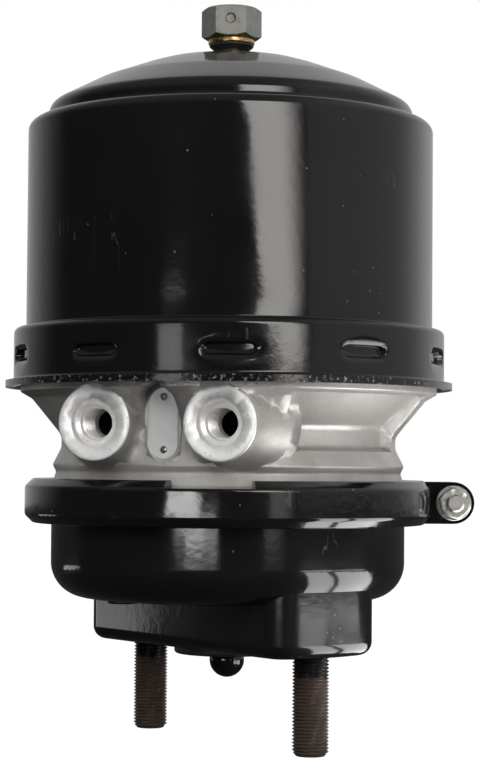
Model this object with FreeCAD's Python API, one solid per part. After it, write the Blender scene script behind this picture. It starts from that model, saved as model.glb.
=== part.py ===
import FreeCAD, Part
import math
import os

# Spring brake chamber, size 24/24, for a disc brake. Millimetres, +Z from the brake
# towards the release bolt. The origin is the centre of the mounting face, on the axis,
# and the two mounting studs stand on the X axis.

# Motion
stroke = 57.0

# Edges with a smaller rounding than this are chamfered
smallest_arc = 1.3

# How far a cutting block reaches past what it cuts
cut_margin = 16.0

# Where the seam of a round bar is, in degrees about the bar
seam_turn = 20.0

# Directions seen from above, in degrees from +X
port_angle = -57.5
clamp_split_angle = 53.0
slot_angle = -37.0
notch_angle = -42.0
vent_angle = 233.0
head_flat_angle = -39.0

# Mounting studs
stud_radius = 8.0
stud_spacing = 120.65
stud_reach = 43.0
stud_chamfer = 1.5
stud_press_radius = 8.6
stud_head_radius = 11.0
stud_head_height = 6.0

# Service housing, a pressed bowl with a raised boss
service_wall = 3.0
boss_height = 22.5
boss_half_width = 29.0
boss_end_radius = 77.0
boss_corner_radius = 12.0
boss_edge_radius = 6.0
rim_radius = 87.5
rim_width = 7.0
bowl_radius = rim_radius - rim_width
bowl_corner_radius = 16.0
bowl_rim_height = 65.5
rim_edge = 3.2
rim_slope = 3.8
drain_radius = 4.5
drain_inset = 22.5
drain_circle = bowl_radius - drain_inset

# Boot seal in the boss floor
boot_hole_radius = 19.0
boot_flange_radius = 24.0
boot_flange_height = 3.0
boot_seat_depth = 0.5
boot_seat_gap = 0.5
boot_collar_radius = 20.3
boot_collar_height = 1.5
boot_bore_radius = 12.0

# Diaphragm
diaphragm_thickness = 3.5
diaphragm_gap = 0.5
diaphragm_edge_gap = 1.0

# Cast flange body
service_cavity_depth = 23.0
service_cavity_radius = rim_radius - 13.0
service_cavity_corner = 12.0
divider_thickness = 15.0
body_rim_edge = 1.8
body_rim_slope = 2.4
bead_radius = rim_radius - 8.0
waist_radius = bead_radius - 3.3
waist_drop = 3.0
rib_radius = waist_radius - 4.2
spigot_gap = 0.2
spigot_wall = 6.5
spigot_edge_margin = 0.6
spring_floor_margin = 2.0
spring_floor_rise = 13.0
rib_count = 4
first_rib_angle = 46.0
rib_pitch_angle = 62.0
rib_width_angle = 24.0
hub_bore_radius = 20.5

# Air ports, threaded M16x1.5 behind a wide mouth
port_spacing = 57.0
port_face_distance = waist_radius + 11.8
port_boss_radius = 16.4
port_clearance = 0.5
port_flank_radius = 26.0
port_mouth_radius = 10.3
port_mouth_depth = 4.5
port_thread_radius = 7.2
port_thread_depth = 14.0
port_drill_radius = 5.75
port_drill_reach = 48.0
passage_radius = 4.5
passage_inset = 1.2
port_web_distance = waist_radius + 1.8

# Oval plate between the ports
plate_width = 13.0
plate_length = 30.0
plate_thickness = 0.8
plate_border = 1.5
plate_rim = 1.2
rivet_radius = 1.6
rivet_spacing = 22.5

# Clamp ring with one bolt
clamp_height = 20.0
clamp_gap = 0.7
clamp_radius = rim_radius + clamp_gap + 4.4
clamp_lip_radius = rim_radius - 5.5
clamp_corner_radius = 3.6
clamp_split = 8.0
notch_angle_width = 24.0
notch_depth = 3.4
ear_thickness = 4.5
ear_end_radius = 9.5
ear_bolt_distance = clamp_radius + 9.7
clamp_bolt_radius = 4.0
clamp_nut_flats = 13.0
clamp_nut_height = 6.5
clamp_washer_radius = 8.0
clamp_washer_thickness = 1.6
clamp_head_height = 5.3
clamp_thread_out = 2.5

# Spring housing, deep drawn
housing_wall = 3.0
lip_above_divider = 10.0
skirt_radius = 98.2
lip_radius = skirt_radius + 3.7
skirt_height = 27.0
skirt_corner_radius = 5.0
barrel_radius = skirt_radius - 5.45
barrel_height = 94.5
shoulder_radius = 9.5
crown_step_radius = barrel_radius - 9.25
crown_height = 30.0
crown_edge_drop = 22.8
crown_corner_radius = 12.0
crown_bend_radius = crown_step_radius - 21.5
crown_bend_drop = 11.6
crown_sphere_radius = 150.0
slot_count = 9
slot_length = 22.0
slot_height = 5.6
slot_dent_border = 2.1
slot_dent_depth = 1.5
slot_rise = 13.6
slot_press = 1.8
seal_ring_height = 3.0
seal_ring_depth = 2.6
seal_ring_drop = 3.4

# Neck, vent plug and release bolt
neck_radius = 7.8
neck_height = 4.5
bush_flange_radius = 14.0
bush_flange_height = 4.0
vent_radius = 3.5
vent_height = 1.8
vent_circle = 14.0
bolt_radius = 6.0
bolt_running_gap = 0.08
bolt_free_gap = 0.3
head_flats = 24.0
head_height = 14.0
head_chamfer = 1.4
head_mark_radius = 2.4
head_mark_depth = 0.9
washer_radius = 10.7
washer_height = 2.8
cone_seal_height = 2.8
cone_seal_top_radius = 10.2
end_clip_radius = 9.0
end_clip_height = 2.0

# Spring piston, tube and nut
piston_bore_gap = 0.45
piston_top_drop = 13.5
piston_flange_height = 22.0
piston_wall = 5.0
piston_floor_gap = 1.5
piston_floor_thickness = 5.5
piston_seat_rise = 17.5
seal_groove_height = 6.0
seal_groove_depth = 4.3
guide_groove_height = 4.0
guide_groove_depth = 2.3
running_gap = 0.05
tube_radius = 18.0
tube_wall = 5.0
tube_socket_depth = 8.0
nut_height = 14.0
nut_side_gap = 0.3
nut_key_width = 6.0
nut_key_depth = 1.8
cap_rim_height = 2.2
cap_spigot_height = 2.8
wiper_height = 3.0
tube_seal_height = 4.0

# Power spring and its seat
power_wire_radius = 6.25
power_turns = 4.0
power_spring_gap = 2.25
power_spring_taper = 13.5
power_seat_inset = 11.5
seat_disc_margin = 8.0
seat_disc_thickness = 3.0
seat_disc_drop = 17.5

# Pushrod, plate, return spring and bellows
rod_radius = 9.0
rod_neck_radius = 6.0
rod_neck_height = 10.0
ball_radius = 7.9
ball_reach = 14.0
plate_disc_radius = 52.0
plate_disc_thickness = 4.0
plate_spigot_radius = 6.0
guide_cup_radius = 20.0
guide_cup_height = 6.0
guide_cup_wall = 2.0
return_wire_radius = 2.1
return_turns = 5.0
return_base_radius = 23.2
return_top_radius = 22.6
bellows_radius = 18.8
bellows_wall = 1.5
bellows_folds = 8
bellows_waist_radius = 13.5
bellows_top_gap = 6.0
cuff_height = 6.0
cuff_wall = 2.0
boot_clip_height = 2.4
boot_clip_wall = 1.5
soft_gap = 0.3

# Heights worked out from the sizes above
body_base = bowl_rim_height + diaphragm_thickness
roof = body_base + service_cavity_depth
divider_top = roof + divider_thickness
port_height = (roof + divider_top) / 2.0 + 0.5
lip_base = divider_top + lip_above_divider
barrel_base = lip_base + skirt_height
shoulder_top = barrel_base + barrel_height
crown_top = shoulder_top + crown_height
crown_inside = crown_top - housing_wall
bore_radius = barrel_radius - housing_wall
skirt_inner_radius = skirt_radius - housing_wall
spigot_top = barrel_base - housing_wall
spigot_radius = skirt_inner_radius - spigot_gap
slot_height_z = lip_base + slot_rise
clamp_middle = (bowl_rim_height + body_base) / 2.0 - 1.25
clamp_base = clamp_middle - clamp_height / 2.0
clamp_top = clamp_middle + clamp_height / 2.0
neck_top = crown_top + neck_height
washer_base = neck_top + cone_seal_height
head_base = washer_base + washer_height
piston_top = shoulder_top - piston_top_drop
piston_flange_base = piston_top - piston_flange_height
piston_bottom = divider_top + piston_floor_gap + stroke
power_base = piston_bottom + piston_seat_rise
seat_disc_base = crown_inside - seat_disc_drop
piston_radius = bore_radius - piston_bore_gap
piston_inner_radius = piston_radius - seal_groove_depth - piston_wall
power_base_radius = piston_inner_radius - power_wire_radius - power_spring_gap
power_top_radius = power_base_radius - power_spring_taper
piston_seat_radius = power_base_radius - power_seat_inset
spring_floor_radius = piston_seat_radius + spring_floor_margin
seat_disc_radius = power_top_radius + seat_disc_margin
tube_top = piston_bottom + tube_socket_depth
disc_top = roof - diaphragm_gap
plate_top = disc_top - diaphragm_thickness
plate_bottom = plate_top - plate_disc_thickness
cap_bottom = disc_top + soft_gap
tube_bottom = cap_bottom + cap_rim_height
bolt_bottom = tube_bottom + cap_spigot_height + 1.0
cuff_top = plate_bottom - guide_cup_height - bellows_top_gap + cuff_height / 2.0


def vector(x, y, z):
    return FreeCAD.Vector(x, y, z)


UP = vector(0, 0, 1)
CENTRE = vector(0, 0, 0)


def turned(shape, angle):
    """The shape turned about the chamber's axis, in degrees."""
    copy = shape.copy()
    copy.rotate(CENTRE, UP, angle)
    return copy


def outline(corners, place):
    """A closed wire through (x, y, fillet) corners: an arc at a large fillet, a chamfer at a small one."""
    edges = []
    entries = []
    exits = []
    arcs = []
    count = len(corners)
    for index in range(count):
        x, y, fillet = corners[index]
        here = vector(x, y, 0)
        before = vector(corners[index - 1][0], corners[index - 1][1], 0)
        after = vector(corners[(index + 1) % count][0], corners[(index + 1) % count][1], 0)
        back = (before - here).normalize()
        ahead = (after - here).normalize()
        half = back.getAngle(ahead) / 2.0
        if fillet <= 0 or half > math.pi / 2 - 0.001:
            entries.append(here)
            exits.append(here)
            arcs.append(None)
            continue
        room = 0.5 * min((before - here).Length, (after - here).Length)
        reach = min(fillet / math.tan(half), room)
        radius = reach * math.tan(half)
        bisector = (back + ahead).normalize()
        entries.append(here + back * reach)
        exits.append(here + ahead * reach)
        if fillet < smallest_arc:
            arcs.append(None)
        else:
            arcs.append(here + bisector * (radius / math.sin(half) - radius))
    for index in range(count):
        following = (index + 1) % count
        if arcs[index] is not None:
            arc = Part.Arc(place(entries[index]), place(arcs[index]), place(exits[index]))
            edges.append(arc.toShape())
        elif (exits[index] - entries[index]).Length > 1e-6:
            edges.append(Part.makeLine(place(entries[index]), place(exits[index])))
        if (entries[following] - exits[index]).Length > 1e-6:
            edges.append(Part.makeLine(place(exits[index]), place(entries[following])))
    return Part.Wire(edges)


def in_section(point):
    """A point of a section, given as radius and height."""
    return vector(point.x, 0, point.y)


def in_plan(point):
    """A point seen from above."""
    return vector(point.x, point.y, 0)


def ring(corners, sweep=360.0, start=0.0):
    """The solid that a section of (radius, height, fillet) corners makes about the axis."""
    face = Part.Face(outline(corners, in_section))
    solid = face.revolve(CENTRE, UP, sweep)
    return turned(solid, start)


def washer(inner, outer, base, height):
    return ring([(inner, base, 0), (outer, base, 0), (outer, base + height, 0), (inner, base + height, 0)])


def inset_line(corners, inset):
    """The corners of a line that runs a given distance to the right of an open line."""
    result = []
    count = len(corners)
    for index in range(count):
        x, y, fillet = corners[index]
        ways = []
        if index > 0:
            ways.append(vector(x - corners[index - 1][0], y - corners[index - 1][1], 0).normalize())
        if index < count - 1:
            ways.append(vector(corners[index + 1][0] - x, corners[index + 1][1] - y, 0).normalize())
        first = ways[0]
        last = ways[-1]
        right = vector(first.y, -first.x, 0)
        other = vector(last.y, -last.x, 0)
        middle = (right + other).normalize()
        shift = inset / middle.dot(right)
        turn = first.x * last.y - first.y * last.x
        rounding = 0.0
        if fillet > 0 and turn < 0:
            rounding = max(fillet - inset, 0.0)
        elif fillet > 0:
            rounding = fillet + inset
        result.append((x + middle.x * shift, y + middle.y * shift, rounding))
    return result


def sheet_ring(corners, wall):
    """A pressed sheet: the line on its outside, and its wall on the line's right."""
    inside = inset_line(corners, wall)
    inside.reverse()
    return ring(corners + inside)


def bar(radius, start, end):
    """A round bar between two points, with its seam turned away from the flats beside it."""
    way = end - start
    solid = Part.makeCylinder(radius, way.Length, start, way)
    solid.rotate(start, way, seam_turn)
    return solid


def prism(corners, base, height):
    """An outline seen from above, raised from base."""
    face = Part.Face(outline(corners, in_plan))
    solid = face.extrude(vector(0, 0, height))
    solid.translate(vector(0, 0, base))
    return solid


def hexagon(flats, base, height, chamfer):
    """A hexagonal prism whose six top and bottom corners are turned off."""
    corner = flats / math.sqrt(3.0)
    corners = []
    for index in range(6):
        angle = math.radians(60.0 * index + 30.0)
        corners.append((corner * math.cos(angle), corner * math.sin(angle), 0))
    body = prism(corners, base, height)
    drop = chamfer * 0.55
    inner = flats / 2.0 - 0.3
    top = base + height
    cone = [
        (0, base, 0),
        (inner, base, 0),
        (inner + 2 * chamfer, base + 2 * drop, 0),
        (inner + 2 * chamfer, top - 2 * drop, 0),
        (inner, top, 0),
        (0, top, 0),
    ]
    return body.common(ring(cone))


def coil(wire, base_radius, top_radius, base, top, turns):
    """A round wire wound on a cone that narrows upwards, with its ends on the two seats."""
    rise = top - base - 2 * wire
    slant = math.degrees(math.atan2(base_radius - top_radius, rise))
    helix = Part.makeHelix(rise / turns, rise, top_radius, slant)
    section = Part.Wire([Part.makeCircle(wire, vector(top_radius, 0, 0), vector(0, 1, 0))])
    spring = Part.Wire(helix.Edges).makePipeShell([section], True, True)
    spring.rotate(CENTRE, vector(1, 0, 0), 180)
    spring.translate(vector(0, 0, top - wire))
    return spring


def boss_form(inset):
    """The raised boss: a band across a disc, with rounded corners and a rounded lower edge."""
    height = boss_height + bowl_corner_radius
    disc = Part.makeCylinder(boss_end_radius - inset, height, vector(0, 0, inset))
    half = boss_half_width - inset
    length = 2 * boss_end_radius
    band = Part.makeBox(2 * length, 2 * half, 2 * height, vector(-length, -half, inset))
    boss = disc.common(band)
    uprights = [edge for edge in boss.Edges if len(edge.Vertexes) == 2 and is_upright(edge)]
    boss = boss.makeFillet(boss_corner_radius - inset, uprights)
    lower = [edge for edge in boss.Edges if edge.BoundBox.ZMax < inset + 0.001]
    return boss.makeFillet(boss_edge_radius - inset, lower)


def is_upright(edge):
    way = edge.Vertexes[1].Point - edge.Vertexes[0].Point
    return abs(way.z) > 0.99 * edge.Length


def bowl_line():
    """The outside of the bowl from its rim down to the axis."""
    return [
        (rim_radius, bowl_rim_height, 0),
        (rim_radius, bowl_rim_height - rim_edge, 0),
        (bowl_radius, bowl_rim_height - rim_edge - rim_slope, 3.0),
        (bowl_radius, boss_height, bowl_corner_radius),
        (0, boss_height, 0),
    ]


def service_housing():
    line = bowl_line()
    outside = ring(line + [(0, bowl_rim_height, 0)]).fuse(boss_form(0))
    inner_radius = bowl_radius - service_wall
    floor = boss_height + service_wall
    corner = bowl_corner_radius - service_wall
    rim_corner = 2.0
    inner_line = [
        (inner_radius + rim_corner, bowl_rim_height, 0),
        (inner_radius, bowl_rim_height - rim_corner, 0),
        (inner_radius, floor, corner),
        (0, floor, 0),
        (0, bowl_rim_height, 0),
    ]
    inside = ring(inner_line).fuse(boss_form(service_wall))
    shell = outside.cut(inside)
    seat_radius = boot_flange_radius + boot_seat_gap
    holes = [bar(boot_hole_radius, vector(0, 0, -1), vector(0, 0, service_wall + 1)),
             bar(seat_radius, vector(0, 0, -1), vector(0, 0, boot_seat_depth))]
    for side in (-1, 1):
        x = side * stud_spacing / 2.0
        holes.append(bar(stud_press_radius, vector(x, 0, -1), vector(x, 0, service_wall + 1)))
        y = side * drain_circle
        holes.append(bar(drain_radius, vector(0, y, boss_height - 1), vector(0, y, floor + 1)))
    for hole in holes:
        shell = shell.cut(hole)
    return shell


def mounting_studs():
    """The studs, with a wider knurled part pressed into the boss floor, and a flat head inside."""
    studs = []
    for side in (-1, 1):
        section = [
            (0, -stud_reach, 0),
            (stud_radius - stud_chamfer, -stud_reach, 0),
            (stud_radius, -stud_reach + stud_chamfer, 0),
            (stud_radius, 0, 0),
            (stud_press_radius, 0, 0),
            (stud_press_radius, service_wall, 0),
            (stud_head_radius, service_wall, 0),
            (stud_head_radius, service_wall + stud_head_height, 1.0),
            (0, service_wall + stud_head_height, 0),
        ]
        stud = ring(section)
        stud.translate(vector(side * stud_spacing / 2.0, 0, 0))
        studs.append(stud)
    return Part.makeCompound(studs)


def drain_plugs():
    """Rubber plugs with a thin head below the bowl's floor and a lip above it."""
    head = drain_radius + 2.0
    floor = boss_height + service_wall
    section = [
        (0, boss_height - 1.2, 0),
        (head, boss_height - 1.2, 0.6),
        (head, boss_height, 0),
        (drain_radius, boss_height, 0),
        (drain_radius, floor, 0),
        (drain_radius + 0.8, floor, 0),
        (drain_radius - 1.0, floor + 2.5, 0.5),
        (0, floor + 2.5, 0),
    ]
    plugs = []
    for side in (-1, 1):
        plug = ring(section)
        plug.translate(vector(0, side * drain_circle, 0))
        plugs.append(plug)
    return Part.makeCompound(plugs)


def boot_seal():
    """The seal ring that stands out of the mounting face, buttoned into the boss floor."""
    top = service_wall + boot_collar_height
    return ring([
        (boot_bore_radius, -boot_flange_height, 1.0),
        (boot_flange_radius, -boot_flange_height, 1.4),
        (boot_flange_radius, boot_seat_depth, 0),
        (boot_hole_radius, boot_seat_depth, 0),
        (boot_hole_radius, service_wall, 0),
        (boot_collar_radius, service_wall, 0),
        (boot_collar_radius, top, 0),
        (boot_bore_radius, top, 0),
    ])


def bellows():
    """A folded rubber boot from the boot seal up to a cuff round the rod."""
    foot = service_wall + boot_collar_height
    cuff_outer = rod_radius + soft_gap + cuff_wall
    cuff_base = cuff_top - cuff_height
    fold = (cuff_base - foot - 2 * bellows_wall) / bellows_folds
    outside = [(bellows_waist_radius + bellows_wall, foot, 0)]
    inside = [(bellows_waist_radius, foot, 0)]
    for index in range(bellows_folds):
        height = foot + bellows_wall + fold * index
        outside.append((bellows_waist_radius + bellows_wall, height, 0.8))
        outside.append((bellows_radius, height + fold / 2.0, 1.2))
        inside.append((bellows_waist_radius, height, 0.8))
        inside.append((bellows_radius - bellows_wall * 1.3, height + fold / 2.0, 0.6))
    outside.append((bellows_waist_radius, cuff_base - bellows_wall, 0.8))
    outside.append((cuff_outer, cuff_base + bellows_wall, 0))
    outside.append((cuff_outer, cuff_top, 0.5))
    inside.append((cuff_outer - cuff_wall, cuff_base, 0))
    inside.append((cuff_outer - cuff_wall, cuff_top, 0))
    inside.reverse()
    return ring(outside + inside)


def boot_clip():
    inner = rod_radius + soft_gap + cuff_wall + soft_gap
    base = cuff_top - cuff_height / 2.0 - boot_clip_height / 2.0
    return washer(inner, inner + boot_clip_wall, base + 1.0, boot_clip_height)


def diaphragm():
    """A moulded rubber cup that lies under the roof, with its edge held between the rims."""
    radius = service_cavity_radius - diaphragm_gap - 0.2
    return sheet_ring([
        (0, disc_top, 0),
        (radius, disc_top, service_cavity_corner - diaphragm_gap),
        (radius, body_base, diaphragm_gap),
        (rim_radius - diaphragm_edge_gap, body_base, 0),
    ], diaphragm_thickness)


def pushrod():
    """The rod, necked above its ball, with a spigot riveted into the plate."""
    shoulder = rod_neck_height - ball_reach + ball_radius
    rod = ring([
        (0, -ball_reach + ball_radius, 0),
        (rod_neck_radius, -ball_reach + ball_radius, 0),
        (rod_neck_radius, shoulder, 1.5),
        (rod_radius, shoulder + 2.0, 0),
        (rod_radius, plate_bottom, 0),
        (plate_spigot_radius, plate_bottom, 0),
        (plate_spigot_radius, plate_top, 0),
        (0, plate_top, 0),
    ])
    ball = Part.makeSphere(ball_radius, vector(0, 0, ball_radius - ball_reach))
    return rod.fuse(ball)


def pressure_plate():
    return ring([
        (plate_spigot_radius, plate_bottom, 0),
        (plate_disc_radius - 3.0, plate_bottom, 1.5),
        (plate_disc_radius, plate_bottom + 2.0, 1.0),
        (plate_disc_radius, plate_top, 0.8),
        (plate_spigot_radius, plate_top, 0),
    ])


def spring_guide():
    """A pressed cup on the rod under the plate, which centres the return spring."""
    base = plate_bottom - guide_cup_height
    return ring([
        (rod_radius, base, 0),
        (guide_cup_radius - 1.5, base, 1.0),
        (guide_cup_radius, base + 2.0, 1.0),
        (guide_cup_radius, plate_bottom, 0),
        (guide_cup_radius - guide_cup_wall, plate_bottom, 0),
        (guide_cup_radius - guide_cup_wall, base + guide_cup_wall, 0.8),
        (rod_radius, base + guide_cup_wall, 0),
    ])


def return_spring():
    return coil(return_wire_radius, return_base_radius, return_top_radius,
                service_wall, plate_bottom, return_turns)


def body_line():
    """The cast body's outside, from the clamped rim up to the spigot inside the housing."""
    neck = port_height - 7.0
    return [
        (rim_radius, body_base, 0),
        (rim_radius, body_base + body_rim_edge, 0),
        (bead_radius + 1.0, body_base + body_rim_edge + body_rim_slope, 1.0),
        (bead_radius - 1.0, clamp_top + 3.0, 2.0),
        (bead_radius + 0.6, clamp_top + 6.2, 1.6),
        (waist_radius, neck - waist_drop, 6.0),
        (waist_radius, neck + 2.5, 6.0),
        (spigot_radius - 5.3, lip_base - 5.0, 3.0),
        (spigot_radius, lip_base - 2.0, 0.6),
        (spigot_radius, spigot_top, skirt_corner_radius - housing_wall + spigot_edge_margin),
    ]


def panel_pocket(start, sweep):
    """The hollow between two ribs, which leaves a thinner neck and a cone above it."""
    low = port_height - 11.2
    return ring([
        (lip_radius, low, 0),
        (rib_radius + 3.8, low, 0.8),
        (rib_radius, low + 1.6, 1.5),
        (rib_radius, port_height - 0.5, 4.0),
        (spigot_radius - 6.0, lip_base - 3.4, 0.5),
        (lip_radius, lip_base - 3.4, 0),
    ], sweep, start)


def across(distance, side, height):
    """A point given from the ports' direction: distance out, to the side, and height."""
    angle = math.radians(port_angle)
    x = distance * math.cos(angle) - side * math.sin(angle)
    y = distance * math.sin(angle) + side * math.cos(angle)
    return vector(x, y, height)


def ports_on():
    """The side shifts of the two ports."""
    return (-port_spacing / 2.0, port_spacing / 2.0)


def port_block():
    """The two port bosses with their wide flanks, joined by a flat web."""
    deep = spring_floor_radius - 4.0
    height = 2 * port_boss_radius
    web = Part.makeBox(port_web_distance - deep, port_spacing, height)
    web.translate(vector(deep, -port_spacing / 2.0, port_height - port_boss_radius))
    block = turned(web, port_angle)
    way = across(1, 0, 0)
    for side in ports_on():
        start = across(deep, side, port_height)
        flank_length = port_face_distance - 7.0 - deep
        flank = Part.makeCone(port_flank_radius, port_boss_radius, flank_length, start, way)
        flank.rotate(start, way, seam_turn)
        boss = bar(port_boss_radius, start, across(port_face_distance, side, port_height))
        edge = [item for item in boss.Edges if is_round_at(item, port_face_distance)]
        block = block.fuse(flank).fuse(boss.makeChamfer(0.8, edge))
    keep = washer(deep - 6.0, lip_radius, clamp_top + 1.0, lip_base - 0.3 - clamp_top - 1.0)
    return block.common(keep)


def is_round_at(edge, distance):
    """Whether an edge is a circle at that distance along the ports' direction."""
    way = across(1, 0, 0)
    middle = edge.BoundBox.Center
    return len(edge.Vertexes) == 1 and abs(middle.dot(way) - distance) < 0.01


def port_hollows():
    """Mouth, thread, drilling and the passage into each chamber."""
    hollows = []
    for side, passage_end in zip(ports_on(), (divider_top + 2.0, roof - 2.0)):
        face = port_face_distance
        thread_start = face - port_mouth_depth
        thread_end = thread_start - port_thread_depth
        hollows.append(bar(port_mouth_radius, across(thread_start, side, port_height),
                           across(face + 1, side, port_height)))
        hollows.append(bar(port_thread_radius, across(thread_end, side, port_height),
                           across(thread_start + 1, side, port_height)))
        hollows.append(bar(port_drill_radius, across(port_drill_reach, side, port_height),
                           across(thread_end + 1, side, port_height)))
        turn = port_drill_reach + passage_radius + passage_inset
        hollows.append(bar(passage_radius, across(turn, side, port_height),
                           across(turn, side, passage_end)))
    return hollows


def plate_obround(grow, base, height):
    """An upright obround pad on the web between the ports."""
    half = plate_width / 2.0 + grow
    reach = plate_length / 2.0 + grow
    corners = [(-reach, -half, half), (reach, -half, half), (reach, half, half), (-reach, half, half)]
    pad = prism(corners, 0, height)
    pad.rotate(CENTRE, vector(0, 1, 0), 90)
    pad.translate(vector(base, 0, port_height))
    return turned(pad, port_angle)


def plate_border_pad():
    """The raised rim that the plate lies in."""
    return plate_obround(plate_border, port_web_distance - 1.0, 1.0 + plate_rim)


def opened_in_front(body):
    """The body with the space in front of the plate and of the two port faces cut free."""
    niche = port_face_distance + cut_margin - port_web_distance
    body = body.cut(plate_obround(0, port_web_distance, niche))
    body = body.cut(plate_obround(plate_border + port_clearance, port_web_distance + plate_rim, niche))
    for side in ports_on():
        start = across(port_face_distance, side, port_height)
        end = across(port_face_distance + cut_margin, side, port_height)
        body = body.cut(bar(port_boss_radius + port_clearance, start, end))
    return body


def flange_body():
    line = body_line()
    body = ring([(0, body_base, 0)] + line + [(0, spigot_top, 0)])
    for index in range(rib_count):
        rib_middle = first_rib_angle + rib_pitch_angle * index
        start = rib_middle - rib_pitch_angle + rib_width_angle / 2.0
        sweep = rib_pitch_angle - rib_width_angle
        if index == 0:
            start = start - 16.0
            sweep = sweep + 16.0
        body = body.cut(panel_pocket(start, sweep))
    body = body.fuse(port_block())
    body = opened_in_front(body.fuse(plate_border_pad()))
    spigot_inner = spigot_radius - spigot_wall
    spring_side = ring([
        (0, divider_top, 0),
        (spring_floor_radius, divider_top, 4.0),
        (spigot_inner - 4.5, divider_top + spring_floor_rise, 4.0),
        (spigot_inner, divider_top + spring_floor_rise + 6.0, 4.0),
        (spigot_inner, spigot_top + 1.0, 0),
        (0, spigot_top + 1.0, 0),
    ])
    service_side = ring([
        (0, body_base - 1.0, 0),
        (service_cavity_radius, body_base - 1.0, 0),
        (service_cavity_radius, roof, service_cavity_corner),
        (0, roof, 0),
    ])
    hub = bar(hub_bore_radius, vector(0, 0, roof - 1), vector(0, 0, divider_top + 1))
    body = body.cut(spring_side).cut(service_side).cut(hub)
    for hollow in port_hollows():
        body = body.cut(hollow)
    lock_base = slot_height_z - slot_height / 2.0 - 0.6
    body = body.cut(washer(lock_groove_radius(), spigot_radius + 1.0, lock_base, slot_height + 1.2))
    seal_base = spigot_top - seal_ring_drop - seal_ring_height
    seal_floor = spigot_radius - seal_ring_depth
    body = body.cut(washer(seal_floor, spigot_radius + 1.0, seal_base, seal_ring_height))
    return body


def lock_groove_radius():
    """The floor of the groove that the housing's pressed tongues reach into."""
    return skirt_inner_radius - slot_press - 0.3


def housing_seal_ring():
    base = spigot_top - seal_ring_drop - seal_ring_height
    floor = spigot_radius - seal_ring_depth
    return ring([
        (floor, base, 0.8),
        (skirt_inner_radius, base, 0.8),
        (skirt_inner_radius, base + seal_ring_height, 0.8),
        (floor, base + seal_ring_height, 0.8),
    ])


def data_plate():
    return plate_obround(0, port_web_distance, plate_thickness)


def plate_rivets():
    rivets = []
    foot = port_web_distance + plate_thickness
    for side in (-1, 1):
        height = port_height + side * rivet_spacing / 2.0
        rivet = Part.makeSphere(rivet_radius * 1.25)
        slab = Part.makeBox(10, 10, 10, vector(-5, -5, rivet_radius * 0.75))
        rivet = rivet.common(slab)
        rivet.translate(vector(0, 0, -rivet_radius * 0.75))
        rivet.rotate(CENTRE, vector(0, 1, 0), 90)
        rivet.translate(vector(foot, 0, height))
        rivets.append(turned(rivet, port_angle))
    return Part.makeCompound(rivets)


def tube_wiper():
    return washer(tube_radius + running_gap, hub_bore_radius, roof + 0.3, wiper_height)


def tube_bush():
    base = roof + 0.3 + wiper_height
    height = divider_top - 0.3 - tube_seal_height - base
    return washer(tube_radius + running_gap, hub_bore_radius, base, height)


def tube_seal():
    base = divider_top - 0.3 - tube_seal_height
    return washer(tube_radius + running_gap, hub_bore_radius, base, tube_seal_height)


def clamp_section():
    """A V channel: two lips that slope onto the rims, and a band round them."""
    channel = rim_radius + clamp_gap
    rim_low = bowl_rim_height - rim_edge
    rim_high = body_base + body_rim_edge
    low_slope = rim_slope / (rim_radius - bowl_radius)
    high_slope = body_rim_slope / (rim_radius - bead_radius - 1.0)
    reach = rim_radius - clamp_lip_radius
    low_tip = rim_low - reach * low_slope - 0.15
    high_tip = rim_high + reach * high_slope + 0.15
    return [
        (channel, rim_low - 0.15 + clamp_gap * low_slope, 0.5),
        (channel, rim_high + 0.15 - clamp_gap * high_slope, 0.5),
        (clamp_lip_radius, high_tip, 0),
        (clamp_lip_radius, clamp_top, 0.8),
        (clamp_radius - clamp_corner_radius, clamp_top, 2.0),
        (clamp_radius, clamp_top - clamp_corner_radius, 2.5),
        (clamp_radius, clamp_base + clamp_corner_radius, 2.5),
        (clamp_radius - clamp_corner_radius, clamp_base, 2.0),
        (clamp_lip_radius, clamp_base, 0.8),
        (clamp_lip_radius, low_tip, 0),
    ]


def beside_split(radial, along, height):
    """A point at the clamp's split: radial from the axis, and along the clamp bolt."""
    return turned_point(vector(radial, along, height), clamp_split_angle)


def turned_point(point, angle):
    turn = FreeCAD.Rotation(UP, angle)
    return turn.multVec(point)


def clamp_ear(side):
    """A flat ear beside the split, rounded at its end, in line with the clamp bolt."""
    root = rim_radius + clamp_gap + 1.0
    corners = [
        (root, clamp_middle - ear_end_radius, 0),
        (ear_bolt_distance + ear_end_radius, clamp_middle - ear_end_radius, ear_end_radius),
        (ear_bolt_distance + ear_end_radius, clamp_middle + ear_end_radius, ear_end_radius),
        (root, clamp_middle + ear_end_radius, 0),
    ]
    face = Part.Face(outline(corners, in_section))
    ear = face.extrude(vector(0, side * ear_thickness, 0))
    ear.translate(vector(0, side * clamp_split / 2.0, 0))
    return turned(ear, clamp_split_angle)


def clamp_ring():
    band = ring(clamp_section())
    margin = clamp_radius - clamp_lip_radius
    gap = Part.makeBox(3 * margin, clamp_split, 2 * clamp_height)
    gap.translate(vector(clamp_lip_radius - margin, -clamp_split / 2.0, clamp_base - clamp_height / 2.0))
    band = band.cut(turned(gap, clamp_split_angle))
    notch = ring([
        (clamp_lip_radius - 3.0, clamp_top - notch_depth, 0),
        (clamp_radius + 3.0, clamp_top - notch_depth, 0),
        (clamp_radius + 3.0, clamp_top + 3.0, 0),
        (clamp_lip_radius - 3.0, clamp_top + 3.0, 0),
    ], notch_angle_width, notch_angle - notch_angle_width / 2.0)
    band = band.cut(notch)
    for side in (-1, 1):
        band = band.fuse(clamp_ear(side))
    reach = clamp_split / 2.0 + ear_thickness + 1.0
    hole = bar(clamp_bolt_radius + 0.3, beside_split(ear_bolt_distance, -reach, clamp_middle),
               beside_split(ear_bolt_distance, reach, clamp_middle))
    return band.cut(hole)


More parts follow.
